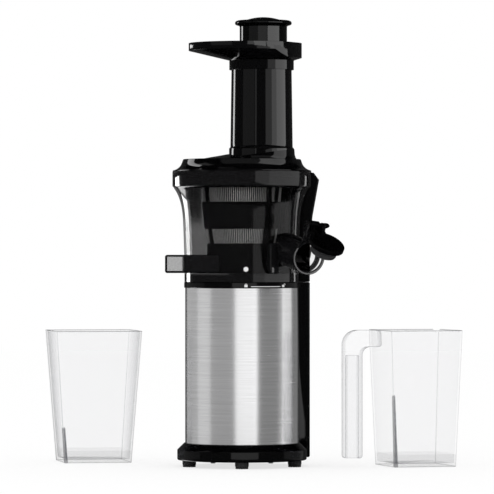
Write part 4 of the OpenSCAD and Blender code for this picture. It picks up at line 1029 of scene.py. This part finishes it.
def make_pusher():
    """Hollow pusher with its flange and low dome"""
    radius = 22.6
    low = PUSHER_LOW.z
    flange = PUSHER_HIGH.z - 8.6
    edge = FLANGE_R
    dome_r, dome_h = sizes().dome_radius / MM, sizes().dome_height / MM
    ball = (dome_r ** 2 + dome_h ** 2) / (2 * dome_h)
    top = PUSHER_HIGH.z - dome_h
    rings = [(0, flange - 4), (radius - 2.4, flange - 4), (radius - 2.4, low + 0.4), (radius - 2.0, low),
             (radius - 0.4, low), (radius, low + 0.4), (radius, flange - 0.6), (radius + 0.4, flange),
             (radius + 1.2, flange + 0.4), (edge - 1.0, flange + 1.1), (edge - 0.3, flange + 1.7),
             (edge, flange + 2.5), (edge, flange + 3.2), (edge - 0.4, flange + 4.2),
             (edge - 1.2, flange + 4.9), (edge - 2.8, top), (dome_r + 1.2, top)]
    for index in range(8):
        r = dome_r * (1 - index / 7)
        rings.append((r, top + sqrt(ball ** 2 - r ** 2) - ball + dome_h))
    pusher = turned(rings, centre=(PUSHER_X, 0), closed=False)
    settle(pusher, "pusher_plunger", "pusher_body", "gloss_black", "pusher")


# ---- cups ----

def rounded_square(side, corner, steps=5):
    """A rounded square drawn as a flat ring of points."""
    points = []
    reach = side / 2 - corner
    for quarter in range(4):
        cx, cy = reach * (1, -1, -1, 1)[quarter], reach * (1, 1, -1, -1)[quarter]
        for index in range(steps + 1):
            turn = radians(90 * quarter + 90 * index / steps)
            points.append((cx + corner * cos(turn), cy + corner * sin(turn)))
    return points


def tapered_cup(height, top, foot, thick_floor=3.4):
    """A cup: a rounded square drawn at the foot, drawn up and widened, then hollowed from its rim."""
    corner = sizes().cup_corner / MM
    wall = sizes().cup_wall / MM
    cup = drawn(rounded_square(foot, corner), height)
    open_mesh(cup)
    choose(cup, "FACE", lambda face: face.normal.z > 0.9)
    ratio = top / foot
    bpy.ops.transform.resize(value=(ratio, ratio, 1), center_override=(0, 0, height * MM))
    bpy.ops.mesh.inset(thickness=wall * MM)
    bpy.ops.mesh.extrude_region_move(
        TRANSFORM_OT_translate={"value": (0, 0, (thick_floor - height) * MM)})
    inner_foot = foot - 2 * wall + (top - foot) * thick_floor / height
    ratio = inner_foot / (top - 2 * wall)
    bpy.ops.transform.resize(value=(ratio, ratio, 1), center_override=(0, 0, thick_floor * MM))
    bpy.ops.object.mode_set(mode="OBJECT")
    return soften(tidy_mesh(cup), 0.7, 3, 50)


def make_pulp_cup():
    """Clear pulp cup"""
    cup = move(tapered_cup(*PULP_SIZE), PULP)
    settle(cup, "pulp_cup_shell", "pulp_container", "clear_pulp", "pulp_cup", angle=50)


def make_jug():
    """Clear juice jug with its pouring notch, and its handle"""
    height, top, foot = JUG_SIZE
    jug = tapered_cup(*JUG_SIZE)
    notch = turned([(0, height - 4), (0.6, height - 4), (6.5, height + 1), (0, height + 1)],
                   centre=(top / 2 - 2, top / 2 - 2), sides=48, closed=False)
    settle(move(cut(jug, notch), JUG), "juice_jug_shell", "jug", "clear_jug", "juice_jug", angle=50)
    grip = cad_copy("jug_handle", 2.6, 4, 30)
    back = -foot / 2 - HANDLE_GAP - HANDLE_W
    hollow = block((back + 3, 3 - HANDLE_W / 2, 4),
                   (back + HANDLE_W - 3, HANDLE_W / 2 - 3, height - 24), 1.0, 3)
    settle(cut(grip, move(hollow, JUG)), "jug_grip", "jug", "clear", "jug_handle", angle=50)


# ---- studio ----

# Camera place and studio sizes in metres, lens in millimetres
EYE = (0.0048, -4.071, 0.2092)
LENS = 310.7
STUDIO_R = 2.4
STUDIO_AIM = Vector((0, 0, 0.15))
FLOOR_SIZE = 9
# Glow of the studio's walls, of its floor strip and of its ceiling, as mirrors see them
WALL_GLOW = 0.04
FLOOR_GLOW = 4.0
CEILING_GLOW = 0.3


def studio_light(name, azimuth, height, width, tall, radiance, lit=None, distance=STUDIO_R):
    """A soft lamp that faces the object, from an azimuth counted from the front to the right."""
    turn = radians(azimuth)
    spot = Vector((sin(turn) * distance, -cos(turn) * distance, height))
    lamp = bpy.data.lights.new(name, "AREA")
    lamp.shape = "RECTANGLE"
    lamp.size, lamp.size_y = width, tall
    lamp.energy = radiance * pi * width * tall
    obj = bpy.data.objects.new(name, lamp)
    bpy.context.scene.collection.objects.link(obj)
    obj.location = spot
    obj.rotation_euler = (STUDIO_AIM - spot).to_track_quat("-Z", "Y").to_euler()
    obj.visible_camera = False
    obj.visible_transmission = False
    if lit:
        obj.light_linking.receiver_collection = lit
    return obj


def receivers(name, *pieces):
    """The pieces that a lamp lights."""
    group = bpy.data.collections.new(name)
    for piece in pieces:
        group.objects.link(bpy.data.objects[piece])
    return group


def make_world():
    world = bpy.data.worlds.new("Studio")
    bpy.context.scene.world = world
    g = Graph(world)
    way = g.node("ShaderNodeSeparateXYZ", inputs={0: g.node("ShaderNodeTexCoord", output="Generated")})
    x, y, z = way.other("X"), way.other("Y"), way.other("Z")
    turn = x.maths("ARCTAN2", x, -1.0 * y) / (2 * pi) + 0.5
    below = [(-180, 0.0), (-154, 0.0), (-150, 0.9), (-132, 0.9), (-129, 0.0), (180, 0.0)]
    floor_strip = g.node("ShaderNodeValToRGB",
                         {"stops": [((a + 180) / 360, value) for a, value in below]}, {"Fac": turn})
    level_band = 1 - z.maths("ABSOLUTE", z).step(0.3, 0.5)
    low_band = (1 - z.step(-0.36, -0.26)) * z.step(-0.8, -0.6)
    ceiling = g.node("ShaderNodeValToRGB", {"stops": [
        (0.0, 0.0), (0.56, 0.0), (0.6, 1.0), (0.82, 1.0), (0.86, 0.0), (1.0, 0.0)]}, {"Fac": z})
    ceiling_span = g.node("ShaderNodeValToRGB", {"stops": [
        (0.0, 0.0), (0.18, 0.0), (0.2, 1.0), (0.26, 1.0), (0.28, 0.0), (0.36, 0.0), (0.38, 0.6),
        (0.7, 0.6), (0.72, 0.0), (1.0, 0.0)]}, {"Fac": turn})
    mirrored = (WALL_GLOW * level_band + floor_strip * FLOOR_GLOW * low_band
                + CEILING_GLOW * ceiling * ceiling_span)
    path = g.node("ShaderNodeLightPath", output="Is Camera Ray")
    seen = path.maths("MAXIMUM", path, path.other("Is Transmission Ray"))
    soft = path.other("Is Diffuse Ray")
    level = seen + (1 - seen) * (soft + (1 - soft) * mirrored)
    light = g.node("ShaderNodeBackground", inputs={"Color": (1, 1, 1, 1), "Strength": level})
    g.end("ShaderNodeOutputWorld", Surface=light)


def make_floor():
    deselect()
    bpy.ops.mesh.primitive_plane_add(size=FLOOR_SIZE)
    floor = bpy.context.object
    floor.name = "studio_floor"
    made = bpy.data.materials.new("studio_paper")
    g = Graph(made)
    paper = g.node("ShaderNodeBsdfDiffuse", inputs={"Color": (1, 1, 1, 1)})
    path = g.node("ShaderNodeLightPath", output="Is Camera Ray")
    seen = path.maths("MAXIMUM", path, path.other("Is Transmission Ray"))
    glow = g.node("ShaderNodeEmission", inputs={"Color": (1, 1, 1, 1), "Strength": 1.0})
    mixed = g.node("ShaderNodeMixShader", inputs={0: seen * 0.7, 1: paper, 2: glow})
    g.end("ShaderNodeOutputMaterial", Surface=mixed)
    floor.data.materials.append(made)
    floor.visible_glossy = False


def make_stage():
    """Camera, pale floor, studio light"""
    scene = bpy.context.scene
    camera = bpy.data.cameras.new("Camera")
    camera.sensor_width = 36
    camera.lens = LENS
    camera.clip_end = 50
    eye = bpy.data.objects.new("Camera", camera)
    scene.collection.objects.link(eye)
    eye.location = EYE
    eye.rotation_euler = (radians(90), 0, 0)
    scene.camera = eye
    scene.view_settings.view_transform = "Standard"
    make_world()
    make_floor()
    metals = receivers("Brushed metal", "brushed_sleeve")
    for name, azimuth, width, level in (
            ("Front", 9, 2.0, 1.4), ("Front left", -39, 2.35, 0.47), ("Left", -83, 1.5, 0.84),
            ("Far left", -125, 2.24, 0.56), ("Front right", 52, 2.5, 0.31), ("Right", 87, 0.62, 0.5),
            ("Right far", 105, 1.3, 1.05), ("Far right", 138, 1.4, 0.22)):
        studio_light(name + " box", azimuth, 0.2, width, 2.8, level, metals)
    tall = receivers("Chute", "chute_tube")
    for name, azimuth, width, level in (
            ("left", -50, 2.14, 0.16), ("front", -21, 0.2, 0.5), ("right", 58, 4.4, 0.55),
            ("inner", 70, 2.9, 0.8), ("edge", 80, 1.94, 0.7)):
        studio_light(f"Chute {name} panel", azimuth, 0.45, width, 1.6, level, tall)
    wide = receivers("Tray", "tray_shell")
    for name, azimuth, height, width, tall_side, level in (
            ("collar", 62, -0.05, 4.0, 1.1, 0.6), ("collar edge", 76, -0.05, 2.3, 1.1, 1.2),
            ("left", -50, 0.93, 2.14, 0.9, 0.16), ("front", 11, 0.883, 0.5, 0.82, 1.1),
            ("front right", 30, 0.883, 1.1, 0.82, 2.2), ("right", 64, 0.883, 1.75, 0.82, 2.2)):
        studio_light(f"Tray {name} panel", azimuth, height, width, tall_side, level, wide)
    slim = receivers("Pusher", "pusher_plunger")
    for name, azimuth, width, level in (
            ("left", -50, 2.14, 0.16), ("front", -4, 1.94, 0.5), ("right", 52, 2.9, 2.3)):
        studio_light(f"Pusher {name} panel", azimuth, 0.6, width, 1.0, level, slim)
    strip = receivers("Strip", "chute_tube", "pusher_plunger")
    studio_light("Upper strip", -127, 0.62, 0.5, 0.57, 5.0, strip)
    studio_light("Tray strip", -143, 0.51, 0.76, 0.12, 3.4, wide)
    lid = receivers("Lid", "lid_shell")
    studio_light("Lid strip", -124, 1.3, 0.95, 2.4, 2.6, lid)
    studio_light("Lid right panel", 72, 1.4, 2.45, 2.8, 1.2, lid)
    smoky = receivers("Bowl", "smoke_bowl", "band_catch", "rear_shell")
    wall = receivers("Bowl wall", "smoke_bowl")
    studio_light("Bowl strip", -136, -0.09, 0.75, 0.56, 7.0, wall)
    studio_light("Band strip", -146, 0.4, 0.75, 0.2, 0.15, wall)
    studio_light("Bowl right panel", 66, 0.1, 4.63, 1.6, 0.28, smoky)
    studio_light("Bowl edge panel", 78, 0.1, 3.0, 1.6, 0.14, smoky)
    studio_light("Bowl right line", 131, -0.28, 0.28, 0.96, 1.4, wall)
    spout = receivers("Spout", "spout_pipe")
    studio_light("Spout edge panel", -75, 0.25, 2.2, 1.0, 0.8, spout)
    studio_light("Spout lip panel", 46.8, 0.085, 0.13, 0.13, 3.4, spout, distance=0.495)
    low = receivers("Base and deck", "base_bevel_ring", "deck_collar")
    studio_light("Base panel", 5, 0.2, 2.14, 1.0, 0.5, low)
    studio_light("Base left panel", -112, 0.2, 3.0, 1.0, 0.09, low)
    studio_light("Base right panel", 110, 0.2, 2.77, 1.0, 0.14, low)
    studio_light("Mesh box", 0, 0.25, 3.0, 2.0, 15.0, receivers("Strainer", "strainer_wires"))
    for piece in ("rear_spine", "rear_shell"):
        bpy.data.objects[piece].visible_glossy = False
    top = studio_light("Top box", -30, 1.6, 1.2, 1.2, 0.5, distance=1.6)
    top.visible_glossy = False


# ---- operators ----

def operator(idname, label, *makers):
    """An operator that runs the makers of one group of pieces."""
    doc = makers[0].__doc__

    class Build(bpy.types.Operator):
        bl_idname = "juicer." + idname
        bl_label = label
        bl_description = doc

        def execute(self, context):
            for make in makers:
                make()
            return {"FINISHED"}

    Build.__doc__ = doc
    Build.__name__ = "JUICER_OT_" + idname
    return Build


STEPS = (
    operator("finish_nodes", "Frame finishes", finish_nodes),
    operator("base", "Base ring and feet", make_base_ring, make_feet),
    operator("sleeve", "Steel sleeve", make_sleeve),
    operator("deck", "Deck", make_deck),
    operator("column", "Rear column and switch", make_column),
    operator("bowl", "Bowl", make_bowl),
    operator("duct", "Pulp duct", make_duct),
    operator("spout", "Juice spout", make_spout),
    operator("rear_cover", "Bowl's rear cover", make_rear_cover),
    operator("strainer", "Strainer", make_strainer),
    operator("cap", "Spout cap and plug", make_cap),
    operator("lid", "Lid", make_lid),
    operator("chute", "Feed chute", make_chute),
    operator("tray", "Hopper tray", make_tray),
    operator("pusher", "Pusher", make_pusher),
    operator("pulp_cup", "Pulp cup", make_pulp_cup),
    operator("jug", "Juice jug", make_jug),
    operator("stage", "Camera, floor and light", make_stage),
)


class JUICER_PT_sidebar(bpy.types.Panel):
    """Sizes, colours and build steps of the juicer"""
    bl_label = "Juicer"
    bl_space_type = "VIEW_3D"
    bl_region_type = "UI"
    bl_category = "Juicer"

    def draw(self, context):
        layout = self.layout
        for group in (context.scene.juicer_sizes, context.scene.juicer_colours):
            for key in group.__annotations__:
                layout.prop(group, key)
        for step in STEPS:
            layout.operator(step.bl_idname)


CLASSES = (JuicerSizes, JuicerColours, *STEPS, JUICER_PT_sidebar)


def register():
    for each in CLASSES:
        bpy.utils.register_class(each)
    bpy.types.Scene.juicer_sizes = PointerProperty(type=JuicerSizes)
    bpy.types.Scene.juicer_colours = PointerProperty(type=JuicerColours)


def unregister():
    del bpy.types.Scene.juicer_colours
    del bpy.types.Scene.juicer_sizes
    for each in reversed(CLASSES):
        bpy.utils.unregister_class(each)


def main():
    register()
    for step in STEPS:
        group, name = step.bl_idname.split(".")
        getattr(getattr(bpy.ops, group), name)()


if __name__ == "__main__":
    main()
